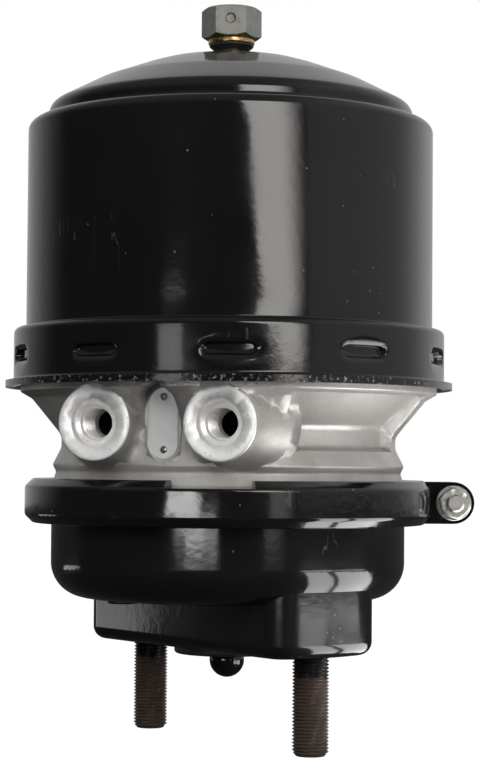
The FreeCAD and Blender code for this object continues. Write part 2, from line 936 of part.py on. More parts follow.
def at_clamp_bolt(shape, along):
    """A shape made on the axis, laid along the clamp bolt at a distance from the split."""
    shape.rotate(CENTRE, vector(1, 0, 0), 90)
    shape.translate(vector(ear_bolt_distance, along, clamp_middle))
    return turned(shape, clamp_split_angle)


def ear_face():
    """How far from the split's middle the ears' outer faces are."""
    return clamp_split / 2.0 + ear_thickness


def clamp_bolt():
    """The bolt's head is behind the ears and its thread comes out of the near one."""
    grip = ear_face() + clamp_washer_thickness
    length = 2 * grip + clamp_nut_height + clamp_thread_out
    shank = ring([
        (0, 0, 0),
        (clamp_bolt_radius, 0, 0),
        (clamp_bolt_radius, length - 0.8, 0),
        (clamp_bolt_radius - 0.8, length, 0),
        (0, length, 0),
    ])
    head = hexagon(clamp_nut_flats, -clamp_head_height, clamp_head_height, 0.9)
    return at_clamp_bolt(shank.fuse(head), grip)


def clamp_nut():
    nut = hexagon(clamp_nut_flats, 0, clamp_nut_height, 0.9)
    nut = nut.cut(bar(clamp_bolt_radius, vector(0, 0, -1), vector(0, 0, clamp_nut_height + 1)))
    nut.rotate(CENTRE, UP, 12.0)
    return at_clamp_bolt(nut, -ear_face() - clamp_washer_thickness)


def clamp_washers():
    near = washer(clamp_bolt_radius, clamp_washer_radius, 0, clamp_washer_thickness)
    far = washer(clamp_bolt_radius, clamp_washer_radius, 0, clamp_washer_thickness)
    return Part.makeCompound([
        at_clamp_bolt(near, -ear_face()),
        at_clamp_bolt(far, ear_face() + clamp_washer_thickness),
    ])


def housing_line():
    """The drawn cap's outside from the neck hole over the crown and down to its lip."""
    edge_slope = (crown_edge_drop - crown_bend_drop) / (crown_step_radius - crown_bend_radius)
    top_slope = crown_bend_drop / (crown_bend_radius / 2.0)
    flat_end = crown_bend_radius - crown_bend_drop / top_slope
    return [
        (neck_radius, crown_top, 0),
        (flat_end, crown_top, crown_sphere_radius),
        (crown_bend_radius, crown_top - crown_bend_drop, 20.0),
        (crown_step_radius, crown_top - crown_bend_drop - edge_slope *
         (crown_step_radius - crown_bend_radius), crown_corner_radius),
        (crown_step_radius, shoulder_top, 2.0),
        (barrel_radius, shoulder_top, shoulder_radius),
        (barrel_radius, barrel_base, 1.0),
        (skirt_radius, barrel_base, skirt_corner_radius),
        (skirt_radius, lip_base + housing_wall, 1.5),
        (lip_radius, lip_base + housing_wall, 0),
    ]


def slot_pad(length, height, inner, outer):
    """An obround block that crosses the skirt between two radii."""
    half = height / 2.0
    reach = length / 2.0
    corners = [(-half, -reach, half), (half, -reach, half), (half, reach, half), (-half, reach, half)]
    pad = prism(corners, inner, outer - inner)
    pad.rotate(CENTRE, vector(0, 1, 0), 90)
    pad.translate(vector(0, 0, slot_height_z))
    return pad


def spring_housing():
    """The cap with its ring of lanced slots, whose pressed tongues lock the cast body."""
    shell = sheet_ring(housing_line(), housing_wall)
    dent = slot_pad(slot_length + 2 * slot_dent_border, slot_height + 2 * slot_dent_border,
                    skirt_radius - slot_dent_depth, skirt_radius + 5.0)
    recess = slot_pad(slot_length, slot_height, skirt_inner_radius - slot_press + 2.2, skirt_radius + 5.0)
    tongue = slot_pad(slot_length - 0.4, slot_height - 0.4, skirt_inner_radius - slot_press,
                      skirt_inner_radius + 0.6)
    tongue = tongue.common(Part.makeCylinder(skirt_inner_radius + 0.6, 2 * barrel_base))
    for index in range(slot_count):
        angle = slot_angle + 360.0 * index / slot_count
        shell = shell.fuse(turned(tongue, angle))
        shell = shell.cut(turned(dent, angle))
        shell = shell.cut(turned(recess, angle))
    vent = bar(vent_radius, vent_point(crown_inside - 4.0), vent_point(crown_top + 1.0))
    return shell.cut(vent)


def vent_point(height):
    return turned_point(vector(vent_circle, 0, height), vent_angle)


def vent_plug():
    """A push-in plug in the crown beside the neck."""
    plug = ring([
        (0, crown_inside - 1.0, 0),
        (vent_radius, crown_inside - 1.0, 0),
        (vent_radius, crown_top + vent_height, 1.0),
        (0, crown_top + vent_height, 0),
    ])
    plug.translate(vent_point(0))
    return plug


def dome_bush():
    """The neck welded through the crown, with a flange inside it."""
    inner = bolt_radius + bolt_running_gap
    flange_base = crown_inside - bush_flange_height
    return ring([
        (inner, flange_base, 0),
        (bush_flange_radius, flange_base, 0.8),
        (bush_flange_radius, crown_inside - 0.1, 0),
        (neck_radius, crown_inside - 0.1, 0),
        (neck_radius, neck_top, 0.5),
        (inner, neck_top, 0),
    ]).cut(bar(vent_radius + 0.2, vent_point(flange_base - 1.0), vent_point(crown_top)))


def release_bolt():
    shank = ring([
        (0, bolt_bottom, 0),
        (bolt_radius - 1.0, bolt_bottom, 0),
        (bolt_radius, bolt_bottom + 1.0, 0),
        (bolt_radius, head_base, 0),
        (0, head_base, 0),
    ])
    head = hexagon(head_flats, head_base, head_height, head_chamfer)
    mark_height = head_base + head_height * 0.55
    flat = head_flats / 2.0
    mark = Part.makeCone(head_mark_radius - 0.6, head_mark_radius, head_mark_depth,
                         vector(flat - head_mark_depth, 0, mark_height), vector(1, 0, 0))
    head = turned(head.cut(mark), head_flat_angle)
    return shank.fuse(head)


def brass_washer():
    return ring([
        (bolt_radius, washer_base, 0),
        (washer_radius, washer_base, 0.5),
        (washer_radius, head_base, 0.5),
        (bolt_radius, head_base, 0),
    ])


def head_seal():
    """A conical rubber ring squeezed between the washer and the neck."""
    return ring([
        (bolt_radius, neck_top, 0),
        (neck_radius - 0.2, neck_top, 0.5),
        (cone_seal_top_radius, washer_base - 0.6, 0.4),
        (cone_seal_top_radius, washer_base, 0),
        (bolt_radius, washer_base, 0),
    ])


def bolt_end_clip():
    return washer(bolt_radius, end_clip_radius, bolt_bottom + 1.5, end_clip_height)


def spring_seat():
    """The pressed disc that centres the power spring under the crown."""
    inner = bolt_radius + 3.0
    high = crown_inside - bush_flange_height
    outer_ring = seat_disc_radius - 15.0
    line = [
        (inner, high, 0),
        (outer_ring - 12.0, high - 1.5, 3.0),
        (outer_ring, seat_disc_base + seat_disc_thickness, 3.0),
        (seat_disc_radius, seat_disc_base + seat_disc_thickness, 0),
    ]
    return sheet_ring(line, seat_disc_thickness)


def power_spring():
    return coil(power_wire_radius, power_base_radius, power_top_radius,
                power_base, seat_disc_base, power_turns)


def spring_piston():
    """A deep dish: flange with two grooves, wall, spring seat, floor and hub."""
    outer_wall = piston_radius - seal_groove_depth
    floor_top = piston_bottom + piston_floor_thickness
    hub_radius = tube_radius + 6.0
    hub_top = tube_top + 11.0
    body = ring([
        (bolt_radius + bolt_free_gap, hub_top, 0),
        (tube_radius + 1.0, hub_top, 2.0),
        (hub_radius, floor_top, 3.0),
        (piston_seat_radius - 5.0, floor_top, 3.0),
        (piston_seat_radius, power_base, 2.0),
        (piston_inner_radius, power_base, 2.0),
        (piston_inner_radius, piston_top, 0.8),
        (piston_radius, piston_top, 0.8),
        (piston_radius, piston_flange_base, 0.8),
        (outer_wall, piston_flange_base, 2.0),
        (outer_wall, piston_bottom + spring_floor_rise + 11.0, 4.0),
        (outer_wall - 3.0, piston_bottom + spring_floor_rise + 1.5, 4.0),
        (piston_seat_radius, piston_bottom, 4.0),
        (tube_radius, piston_bottom, 0),
        (tube_radius, tube_top, 0),
        (bolt_radius + bolt_free_gap, tube_top, 0),
    ])
    seal_floor = piston_radius - seal_groove_depth
    guide_floor = piston_radius - guide_groove_depth
    body = body.cut(washer(seal_floor, piston_radius + 1.0, seal_groove_base(), seal_groove_height))
    return body.cut(washer(guide_floor, piston_radius + 1.0, guide_groove_base(), guide_groove_height))


def seal_groove_base():
    return piston_flange_base + 4.0


def guide_groove_base():
    return seal_groove_base() + seal_groove_height + 4.0


def piston_seal():
    """A lip seal in the lower groove: a foot, and a lip that spreads to the bore."""
    inner = piston_radius - seal_groove_depth
    outer = bore_radius - running_gap
    base = seal_groove_base()
    top = base + seal_groove_height
    return ring([
        (inner, base, 0),
        (piston_radius, base, 0.5),
        (outer, base + 1.5, 0),
        (outer, base + 3.0, 0),
        (piston_radius, top, 0),
        (inner, top, 0),
    ])


def piston_guide_ring():
    inner = piston_radius - guide_groove_depth
    outer = bore_radius - running_gap
    return washer(inner, outer, guide_groove_base(), guide_groove_height)


def key_ways(width, radius):
    """Two lengthwise bars on opposite sides, reaching out to a radius."""
    length = tube_top - tube_bottom + 2.0
    return Part.makeBox(2 * radius, width, length, vector(-radius, -width / 2.0, tube_bottom - 1.0))


def piston_tube():
    """The tube through the divider, with two inner keyways that the nut slides in."""
    inner = tube_radius - tube_wall
    tube = washer(inner, tube_radius, tube_bottom, tube_top - tube_bottom)
    ways = key_ways(nut_key_width, inner + nut_key_depth)
    low = tube_bottom + cap_spigot_height + 3.0
    keep = Part.makeCylinder(inner + nut_key_depth + 0.2, tube_top - low, vector(0, 0, low))
    return tube.cut(ways.common(keep))


def release_nut():
    """The travelling nut: round, with two keys that stop it turning in the tube."""
    inner = tube_radius - tube_wall
    base = tube_top - nut_height
    body = Part.makeCylinder(inner - nut_side_gap, nut_height, vector(0, 0, base))
    keys = key_ways(nut_key_width - 0.4, inner + nut_key_depth - 0.4)
    keys = keys.common(Part.makeCylinder(tube_radius, nut_height, vector(0, 0, base)))
    nut = body.fuse(keys)
    thread = bar(bolt_radius + bolt_running_gap, vector(0, 0, base - 1), vector(0, 0, tube_top + 1))
    return nut.cut(thread)


def tube_end_cap():
    """The pad that closes the tube and pushes on the diaphragm."""
    inner = tube_radius - tube_wall
    return ring([
        (0, cap_bottom, 0),
        (tube_radius - 0.5, cap_bottom, 1.0),
        (tube_radius - 0.5, tube_bottom, 0),
        (inner, tube_bottom, 0),
        (inner, tube_bottom + cap_spigot_height, 0.5),
        (0, tube_bottom + cap_spigot_height, 0),
    ])


pieces = {
    "spring_housing": spring_housing,
    "dome_bush": dome_bush,
    "vent_plug": vent_plug,
    "spring_seat": spring_seat,
    "power_spring": power_spring,
    "flange_body": flange_body,
    "housing_seal_ring": housing_seal_ring,
    "data_plate": data_plate,
    "plate_rivets": plate_rivets,
    "tube_wiper": tube_wiper,
    "tube_bush": tube_bush,
    "tube_seal": tube_seal,
    "clamp_ring": clamp_ring,
    "clamp_bolt": clamp_bolt,
    "clamp_nut": clamp_nut,
    "clamp_washers": clamp_washers,
    "diaphragm": diaphragm,
    "service_housing": service_housing,
    "mounting_studs": mounting_studs,
    "drain_plugs": drain_plugs,
    "boot_seal": boot_seal,
    "bellows": bellows,
    "return_spring": return_spring,
    "release_bolt": release_bolt,
    "brass_washer": brass_washer,
    "head_seal": head_seal,
    "bolt_end_clip": bolt_end_clip,
    "spring_piston": spring_piston,
    "piston_seal": piston_seal,
    "piston_guide_ring": piston_guide_ring,
    "piston_tube": piston_tube,
    "tube_end_cap": tube_end_cap,
    "release_nut": release_nut,
    "pushrod": pushrod,
    "pressure_plate": pressure_plate,
    "spring_guide": spring_guide,
    "boot_clip": boot_clip,
}

os.makedirs("parts", exist_ok=True)
for name, make in pieces.items():
    shape = make()
    if not shape.isValid():
        print("not valid:", name)
    shape.exportStep("parts/" + name + ".step")
    print(name, len(shape.Solids), "solids", round(shape.Volume), "mm3")
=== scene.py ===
"""A spring brake chamber in a pale studio.

Black pressed housings, a cast body with two air ports, two studs and a release bolt. Sizes are in
millimetres until a mesh is made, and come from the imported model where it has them.
"""
import math

import bmesh
import bpy
import numpy as np
from mathutils import Matrix, Vector


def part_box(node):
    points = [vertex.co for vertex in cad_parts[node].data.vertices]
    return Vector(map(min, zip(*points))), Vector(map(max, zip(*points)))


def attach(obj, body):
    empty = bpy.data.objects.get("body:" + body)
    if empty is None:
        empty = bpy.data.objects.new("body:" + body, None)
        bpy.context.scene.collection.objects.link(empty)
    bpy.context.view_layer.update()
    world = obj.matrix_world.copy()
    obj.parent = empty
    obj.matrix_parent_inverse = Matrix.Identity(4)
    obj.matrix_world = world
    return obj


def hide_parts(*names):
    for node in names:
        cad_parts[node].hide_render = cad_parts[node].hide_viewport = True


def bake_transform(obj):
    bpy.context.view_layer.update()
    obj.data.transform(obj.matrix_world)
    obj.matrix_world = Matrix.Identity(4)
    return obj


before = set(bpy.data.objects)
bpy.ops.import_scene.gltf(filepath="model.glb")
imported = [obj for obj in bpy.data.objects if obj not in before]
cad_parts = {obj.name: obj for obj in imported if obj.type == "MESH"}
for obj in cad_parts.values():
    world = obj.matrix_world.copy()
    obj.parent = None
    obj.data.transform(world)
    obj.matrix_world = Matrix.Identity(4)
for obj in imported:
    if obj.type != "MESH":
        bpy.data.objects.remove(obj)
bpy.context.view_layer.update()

MM = 0.001
TURN = 2 * math.pi
SAME_PLACE = 1e-6
BEVELLED_ANGLE = 35.0

# In metres: points closer than the first are merged, and edges shorter than the second are dissolved
MERGE_DISTANCE = 2e-6
SHORTEST_EDGE = 1e-7


def low(node):
    """The node's lowest corner in millimetres."""
    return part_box(node)[0] / MM


def high(node):
    """The node's highest corner in millimetres."""
    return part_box(node)[1] / MM


# Directions seen from above, in degrees from +X
PORT_ANGLE = -57.5
SLOT_ANGLE = -37.0
VENT_ANGLE = 233.0

# Spring housing
HOUSING_BASE = low("spring_housing").z
CROWN_TOP = low("head_seal").z - 4.5
SHOULDER_TOP = CROWN_TOP - 30.0
BARREL_BASE = HOUSING_BASE + 27.0
LIP_RADIUS = high("spring_housing").x
SKIRT_RADIUS = 98.2
BARREL_RADIUS = 92.75
CROWN_STEP_RADIUS = 83.5
HOUSING_WALL = 3.0
SKIRT_ROWS = 46

# Lanced slots in the skirt, with close columns for a spread of degrees to both sides of each
SLOT_COUNT = 10
SLOT_PITCH = 360.0 / SLOT_COUNT
SLOT_HEIGHT = HOUSING_BASE + 13.6
SLOT_HALF_LENGTH = 8.8
SLOT_HALF_HEIGHT = 2.3
SLOT_SPREAD = 9.5
CLOSE_COLUMNS = 42
WIDE_COLUMNS = 8

# Neck, vent plug and studs
NECK_RADIUS = 7.8
NECK_BORE = 6.08
NECK_PITCH = 1.25
VENT_REACH = 14.0
STUD_RADIUS = 8.0
STUD_PITCH = 1.5
STUD_HEAD_RADIUS = 11.0
STUD_X = high("mounting_studs").x - STUD_HEAD_RADIUS

# Air ports: distances are from the chamber's axis
PORT_SIDE = 28.5
PORT_HEIGHT = (low("data_plate").z + high("data_plate").z) / 2
PORT_FACE = 88.0
PORT_SEAT = PORT_FACE - 4.5
PORT_THREAD_END = PORT_SEAT - 14.0
PORT_DEEPEST = 48.0
PORT_MOUTH_RADIUS = 10.3
PORT_PITCH = 1.5
SPOT_FACE_REACH = 16.6
DRILL_DEEPEST = 20.0
DRILL_REACH = 6.9

# The share of a thread's half pitch that is flat, at crest and root
THREAD_FLAT = 0.12


# Lines and surfaces

def rounded(corners, spacing=8.0, arc_step=9.0, closed=False):
    """Points along a line of (x, y, fillet) corners.

    A fillet is the arc that touches both sides: its centre lies on the bisector at radius / sin(half
    the corner), and its points are the first touching point turned about that centre. Straight
    stretches are divided evenly, no further apart than spacing.
    """
    corners = np.array(corners, float)
    count = len(corners)
    found = []
    for index in range(count):
        here = corners[index, :2]
        if (not closed and index in (0, count - 1)) or corners[index, 2] <= 0:
            found.append(here[None])
            continue
        back = corners[index - 1, :2] - here
        ahead = corners[(index + 1) % count, :2] - here
        room = 0.499 * min(np.linalg.norm(back), np.linalg.norm(ahead))
        back /= np.linalg.norm(back)
        ahead /= np.linalg.norm(ahead)
        half = math.acos(np.clip(back @ ahead, -1, 1)) / 2
        reach = min(corners[index, 2] / math.tan(half), room)
        radius = reach * math.tan(half)
        bisector = (back + ahead) / np.linalg.norm(back + ahead)
        centre = here + bisector * radius / math.sin(half)
        start = here + back * reach - centre
        end = here + ahead * reach - centre
        sweep = math.atan2(start[0] * end[1] - start[1] * end[0], start @ end)
        parts = max(2, math.ceil(abs(math.degrees(sweep)) / arc_step))
        angle = np.linspace(0, sweep, parts + 1)
        arc = np.stack([start[0] * np.cos(angle) - start[1] * np.sin(angle),
                        start[0] * np.sin(angle) + start[1] * np.cos(angle)], axis=1)
        found.append(centre + arc)
    line = np.concatenate(found)
    if closed:
        line = np.concatenate([line, line[:1]])
    steps = np.linalg.norm(np.diff(line, axis=0), axis=1)
    line = line[np.concatenate([[True], steps > SAME_PLACE])]
    steps = steps[steps > SAME_PLACE]
    along = np.concatenate([[0], np.cumsum(steps)])
    places = [np.linspace(along[i], along[i + 1], max(1, math.ceil(steps[i] / spacing)), endpoint=False)
              for i in range(len(steps))]
    places = np.concatenate(places + [along[-1:]])
    if closed:
        places = places[:-1]
    return np.stack([np.interp(places, along, line[:, 0]), np.interp(places, along, line[:, 1])], axis=1)


def inset(corners, wall):
    """The corners of a line that runs a wall to the right of an open line.

    Each corner moves along the mean of its two sides' normals, by the wall over the cosine between
    them, and its fillet grows or shrinks by the wall.
    """
    corners = np.array(corners, float)
    ways = np.diff(corners[:, :2], axis=0)
    ways /= np.linalg.norm(ways, axis=1)[:, None]
    before = np.concatenate([ways[:1], ways])
    after = np.concatenate([ways, ways[-1:]])
    right = np.stack([before[:, 1], -before[:, 0]], axis=1)
    other = np.stack([after[:, 1], -after[:, 0]], axis=1)
    middle = right + other
    middle /= np.linalg.norm(middle, axis=1)[:, None]
    shift = wall / np.sum(middle * right, axis=1)
    bend = before[:, 0] * after[:, 1] - before[:, 1] * after[:, 0]
    fillet = np.where(corners[:, 2] > 0, corners[:, 2] + np.where(bend < 0, -wall, wall), 0)
    return np.column_stack([corners[:, :2] + middle * shift[:, None], np.maximum(fillet, 0)])


def around(count):
    """Evenly spaced angles of a whole turn, in radians."""
    return np.arange(count) * TURN / count


def lathe(line, angles, bulge=None):
    """A surface of revolution as a grid: x = r cos(angle), y = r sin(angle), z = height.

    Rows run along the line and columns round the axis, and bulge(angle, height, radius) is added to
    the radius.
    """
    radius = np.repeat(line[:, :1], len(angles), axis=1)
    height = np.repeat(line[:, 1:], len(angles), axis=1)
    angle = np.repeat(angles[None], len(line), axis=0)
    if bulge is not None:
        radius = radius + bulge(angle, height, radius)
    return np.stack([radius * np.cos(angle), radius * np.sin(angle), height], axis=-1)


def smooth(value):
    """0 below 0, 1 above 1, and 3t² - 2t³ between."""
    value = np.clip(value, 0, 1)
    return value * value * (3 - 2 * value)


def thread_bulge(pitch, depth, bottom, top, fade, inner=0.0, outer=math.inf):
    """A screw thread as a change of the radii that lie between inner and outer.

    It is a triangle wave of (height / pitch - angle / turn) with flat crests and roots, and fades in
    and out over a length at both ends.
    """
    def bulge(angle, height, radius):
        phase = np.mod(height / pitch - angle / TURN, 1.0)
        wave = np.clip((np.abs(2 * phase - 1) - THREAD_FLAT) / (1 - 2 * THREAD_FLAT), 0, 1)
        ends = smooth((height - bottom) / fade) * smooth((top - height) / fade)
        return -depth * wave * ends * ((radius > inner) & (radius < outer))
    return bulge


def turned_about_z(points, degrees):
    """The points turned about the chamber's axis."""
    angle = math.radians(degrees)
    x = points[..., 0] * math.cos(angle) - points[..., 1] * math.sin(angle)
    y = points[..., 0] * math.sin(angle) + points[..., 1] * math.cos(angle)
    return np.stack([x, y, points[..., 2]], axis=-1)


def at_ports(points):
    """Points made about +Z, laid along both ports: height becomes the distance out from the axis."""
    laid = [np.stack([points[..., 2], points[..., 0] + side, points[..., 1] + PORT_HEIGHT], axis=-1)
            for side in (-PORT_SIDE, PORT_SIDE)]
    return [turned_about_z(port, PORT_ANGLE) for port in laid]


def sweep(centres, ups, radius, columns):
    """A round wire along a line of centres: each ring lies across the line's direction, turned by up."""
    way = np.gradient(centres, axis=0)
    way /= np.linalg.norm(way, axis=1)[:, None]
    side = np.cross(way, ups)
    side /= np.linalg.norm(side, axis=1)[:, None]
    up = np.cross(side, way)
    angle = around(columns)
    ring = np.cos(angle)[None, :, None] * side[:, None] + np.sin(angle)[None, :, None] * up[:, None]
    return centres[:, None] + radius * ring


# Meshes

def finish_mesh(mesh, smooth_angle):
    """Merges doubles, closes poles, points faces outwards and shades by angle."""
    work = bmesh.new()
    work.from_mesh(mesh)
    bmesh.ops.remove_doubles(work, verts=work.verts, dist=MERGE_DISTANCE)
    bmesh.ops.dissolve_degenerate(work, edges=work.edges, dist=SHORTEST_EDGE)
    bmesh.ops.recalc_face_normals(work, faces=work.faces)
    work.to_mesh(mesh)
    work.free()
    mesh.polygons.foreach_set("use_smooth", np.ones(len(mesh.polygons), bool))
    mesh.set_sharp_from_angle(angle=math.radians(smooth_angle))
    mesh.update()


def grid_faces(rows, columns, round_rows, first):
    """The quads of a grid whose columns close into a ring, and whose rows do too if asked."""
    index = np.arange(rows * columns).reshape(rows, columns) + first
    ahead = np.roll(index, -1, axis=0)
    if not round_rows:
        index, ahead = index[:-1], ahead[:-1]
    beside = np.roll(index, -1, axis=1)
    across = np.roll(ahead, -1, axis=1)
    return np.stack([index, beside, across, ahead], axis=-1).reshape(-1, 4)


def caps(grid, first):
    """Triangles from a middle point to each end row of a grid, as (points, faces)."""
    rows, columns = grid.shape[:2]
    ring = np.arange(columns)
    points = np.stack([grid[0].mean(axis=0), grid[-1].mean(axis=0)])
    middle = first + rows * columns
    start = np.stack([ring + first, np.roll(ring, -1) + first, np.full(columns, middle)], axis=1)
    last = first + (rows - 1) * columns
    end = np.stack([ring + last, np.roll(ring, -1) + last, np.full(columns, middle + 1)], axis=1)
    return points, np.concatenate([start, end])


def new_object(name, data):
    """A new object in the scene."""
    made = bpy.data.objects.new(name, data)
    bpy.context.scene.collection.objects.link(made)
    return made


def coat(mesh, material):
    """Gives a mesh this one material."""
    mesh.materials.clear()
    mesh.materials.append(material)


def store(mesh, name, values):
    """Keeps a number for each point of a mesh, under a name that materials read."""
    mesh.attributes.new(name, "FLOAT", "POINT").data.foreach_set("value", values.astype(np.float32))


def piece(name, grids, material, body, replaces=(), round_rows=False, capped=False,
          smooth_angle=35.0):
    """One object from one or more grids of points in millimetres.

    round_rows closes the rows into a ring as the columns are, and capped closes both end rows.
    """
    points, faces, first = [], [], 0
    for grid in grids:
        rows, columns = grid.shape[:2]
        points.append(grid.reshape(-1, 3))
        faces.extend(grid_faces(rows, columns, round_rows, first).tolist())
        if capped:
            extra, triangles = caps(grid, first)
            points.append(extra)
            faces.extend(triangles.tolist())
            first += 2
        first += rows * columns
    mesh = bpy.data.meshes.new(name)
    mesh.from_pydata((np.concatenate(points) * MM).tolist(), [], faces)
    finish_mesh(mesh, smooth_angle)
    return dressed(name, mesh, material, body, replaces)


def dressed(name, mesh, material, body, replaces):
    """Puts a mesh into the scene with its material, body and replaced nodes."""
    item = new_object(name, mesh)
    coat(mesh, material)
    if body:
        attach(item, body)
    if replaces:
        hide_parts(*replaces)
    return item


def smooth_copy(node, material, body, bevel=0.0, smooth_angle=32.0):
    """A merged copy of a node, smooth where it is round and flat where it is flat.

    Its sharp edges are broken by a small bevel, and its normals lean to the larger faces, so that a
    fillet doesn't tilt the reflections of the wall beside it.
    """
    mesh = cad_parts[node].data.copy()
    mesh.name = node + "_dressed"
    finish_mesh(mesh, smooth_angle)
    item = dressed(mesh.name, mesh, material, body, (node,))
    if bevel:
        edge = item.modifiers.new("edge", "BEVEL")
        edge.width = bevel * MM
        edge.segments = 2
        edge.limit_method = "ANGLE"
        edge.angle_limit = math.radians(BEVELLED_ANGLE)
    item.modifiers.new("flat faces", "WEIGHTED_NORMAL").keep_sharp = True
    return item


def lathe_piece(name, corners, material, body, replaces=(), columns=96, spacing=4.0,
                place=None, bulge=None):
    """A closed section of (radius, height, fillet) corners turned about the axis.

    place(grid) gives the grids where the piece stands, when it doesn't stand on the axis.
    """
    grid = lathe(rounded(corners, spacing, 12.0, closed=True), around(columns), bulge)
    grids = place(grid) if place else [grid]
    return piece(name, grids, material, body, replaces, round_rows=True)


# Material helpers

def feed(tree, node, values):
    """Fills a node's inputs: a socket is linked, a plain value is set, and None is left alone."""
    for name, value in values.items():
        if isinstance(value, bpy.types.NodeSocket):
            tree.links.new(value, node.inputs[name])
        elif value is not None:
            node.inputs[name].default_value = value


def put(tree, kind, values=None, **settings):
    """Adds a node with these settings and inputs."""
    node = tree.nodes.new(kind)
    for name, value in settings.items():
        setattr(node, name, value)
    feed(tree, node, values or {})
    return node


def calc(tree, operation, *values):
    """The result of a sum, difference or other operation on numbers and sockets."""
    return put(tree, "ShaderNodeMath", dict(enumerate(values)), operation=operation).outputs[0]


def span(tree, value, start, end, to_start=0.0, to_end=1.0):
    """The value taken smoothly from one range to another, and held at its ends."""
    values = {"Value": value, "From Min": start, "From Max": end, "To Min": to_start, "To Max": to_end}
    return put(tree, "ShaderNodeMapRange", values, interpolation_type="SMOOTHSTEP").outputs[0]


def mix(tree, factor, first, second):
    """A mix of two colours."""
    values = {0: factor, 6: first, 7: second}
    return put(tree, "ShaderNodeMix", values, data_type="RGBA", clamp_factor=True).outputs[2]


def noise(tree, place, scale, detail=4.0, roughness=0.55, distortion=0.0):
    """A cloudy pattern from 0 to 1, whose scale counts its lumps in a metre."""
    values = {"Vector": place, "Scale": scale, "Detail": detail, "Roughness": roughness,
              "Distortion": distortion}
    return put(tree, "ShaderNodeTexNoise", values).outputs["Fac"]


def grey(value):
    """An opaque neutral colour."""
    return (value, value, value, 1)


def effect(name, inputs, outputs):
    """An empty shader node group: (tree, its inputs, its output node). inputs gives first values."""
    tree = bpy.data.node_groups.new(name, "ShaderNodeTree")
    tree.interface.new_socket("Place", in_out="INPUT", socket_type="NodeSocketVector")
    for label, value in inputs.items():
        socket = tree.interface.new_socket(label, in_out="INPUT", socket_type="NodeSocketFloat")
        socket.default_value = value
    for label in outputs:
        tree.interface.new_socket(label, in_out="OUTPUT", socket_type="NodeSocketFloat")
    return tree, tree.nodes.new("NodeGroupInput").outputs, tree.nodes.new("NodeGroupOutput")


def use(tree, group, values):
    """Places a node group in a material and gives its outputs."""
    return put(tree, "ShaderNodeGroup", values, node_tree=group).outputs


def dust_effect():
    """Sparse round specks: the cells of a Voronoi pattern whose distance is under a size and whose
    random colour passes a threshold."""
    first_values = {"Scale": 300.0, "Size": 0.16, "Share": 0.2}
    tree, given, out = effect("dust specks", first_values, ["Mask"])
    cells = put(tree, "ShaderNodeTexVoronoi", {"Vector": given["Place"], "Scale": given["Scale"]})
    chosen = put(tree, "ShaderNodeSeparateColor", {"Color": cells.outputs["Color"]}).outputs[0]
    near = calc(tree, "LESS_THAN", cells.outputs["Distance"], given["Size"])
    rare = calc(tree, "LESS_THAN", chosen, given["Share"])
    feed(tree, out, {"Mask": calc(tree, "MULTIPLY", near, rare)})
    return tree


def scratch_effect():
    """Fine scratches: the thin zero lines of a noise pattern stretched along one direction, kept in
    patches."""
    first_values = {"Scale": 40.0, "Width": 0.012, "Share": 0.5}
    tree, given, out = effect("scratches", first_values, ["Mask"])
    stretch = {"Vector": given["Place"], "Rotation": (0.5, 0.3, 0.9), "Scale": (1.0, 1.0, 0.12)}
    place = put(tree, "ShaderNodeMapping", stretch).outputs[0]
    lines = noise(tree, place, given["Scale"], 2.0, 0.5, 0.4)
    off = calc(tree, "ABSOLUTE", calc(tree, "SUBTRACT", lines, 0.5))
    thin = calc(tree, "LESS_THAN", off, given["Width"])
    patch = calc(tree, "LESS_THAN", noise(tree, given["Place"], 28.0, 3.0), given["Share"])
    feed(tree, out, {"Mask": calc(tree, "MULTIPLY", thin, patch)})
    return tree


def wear_effect():
    """Worn edges: the piece's edge attribute, broken up by noise."""
    tree, given, out = effect("edge wear", {"Scale": 500.0, "Amount": 0.5}, ["Mask"])
    edge = put(tree, "ShaderNodeAttribute", attribute_name="edge").outputs["Fac"]
    broken = noise(tree, given["Place"], given["Scale"], 6.0, 0.65)
    worn = calc(tree, "MULTIPLY", edge, calc(tree, "ADD", broken, given["Amount"]))
    feed(tree, out, {"Mask": span(tree, worn, 0.62, 0.72)})
    return tree


def cast_effect():
    """Cast skin: fine sand grain over lumps, larger mottling and a few pits."""
    tree, given, out = effect("cast skin", {"Scale": 1.0}, ["Height", "Mottle", "Pits"])
    scaled = {0: given["Place"], "Scale": given["Scale"]}
    place = put(tree, "ShaderNodeVectorMath", scaled, operation="SCALE").outputs[0]
    grain = noise(tree, place, 900.0, 5.0, 0.7)
    lumps = noise(tree, place, 240.0, 3.0, 0.6)
    pits = span(tree, noise(tree, place, 520.0, 2.0, 0.5), 0.31, 0.25)
    height = calc(tree, "ADD", calc(tree, "MULTIPLY", grain, 0.6), lumps)
    height = calc(tree, "SUBTRACT", height, calc(tree, "MULTIPLY", pits, 0.5))
    feed(tree, out, {"Height": height, "Mottle": noise(tree, place, 60.0, 5.0, 0.6), "Pits": pits})
    return tree


def turning_effect():
    """Turning marks: rings about the local Z axis, the sine of the distance to it over a pitch, with
    a little noise."""
    tree, given, out = effect("turning marks", {"Pitch": 0.0004}, ["Height"])
    parts = put(tree, "ShaderNodeSeparateXYZ", {"Vector": given["Place"]}).outputs
    squares = [calc(tree, "POWER", parts[axis], 2.0) for axis in (0, 1)]
    distance = calc(tree, "SQRT", calc(tree, "ADD", *squares))
    phase = calc(tree, "MULTIPLY", calc(tree, "DIVIDE", distance, given["Pitch"]), TURN)
    wave = calc(tree, "SINE", calc(tree, "ADD", phase, noise(tree, given["Place"], 300.0, 2.0)))
    feed(tree, out, {"Height": wave})
    return tree


DUST = dust_effect()
SCRATCHES = scratch_effect()
WEAR = wear_effect()
CAST = cast_effect()
TURNING = turning_effect()


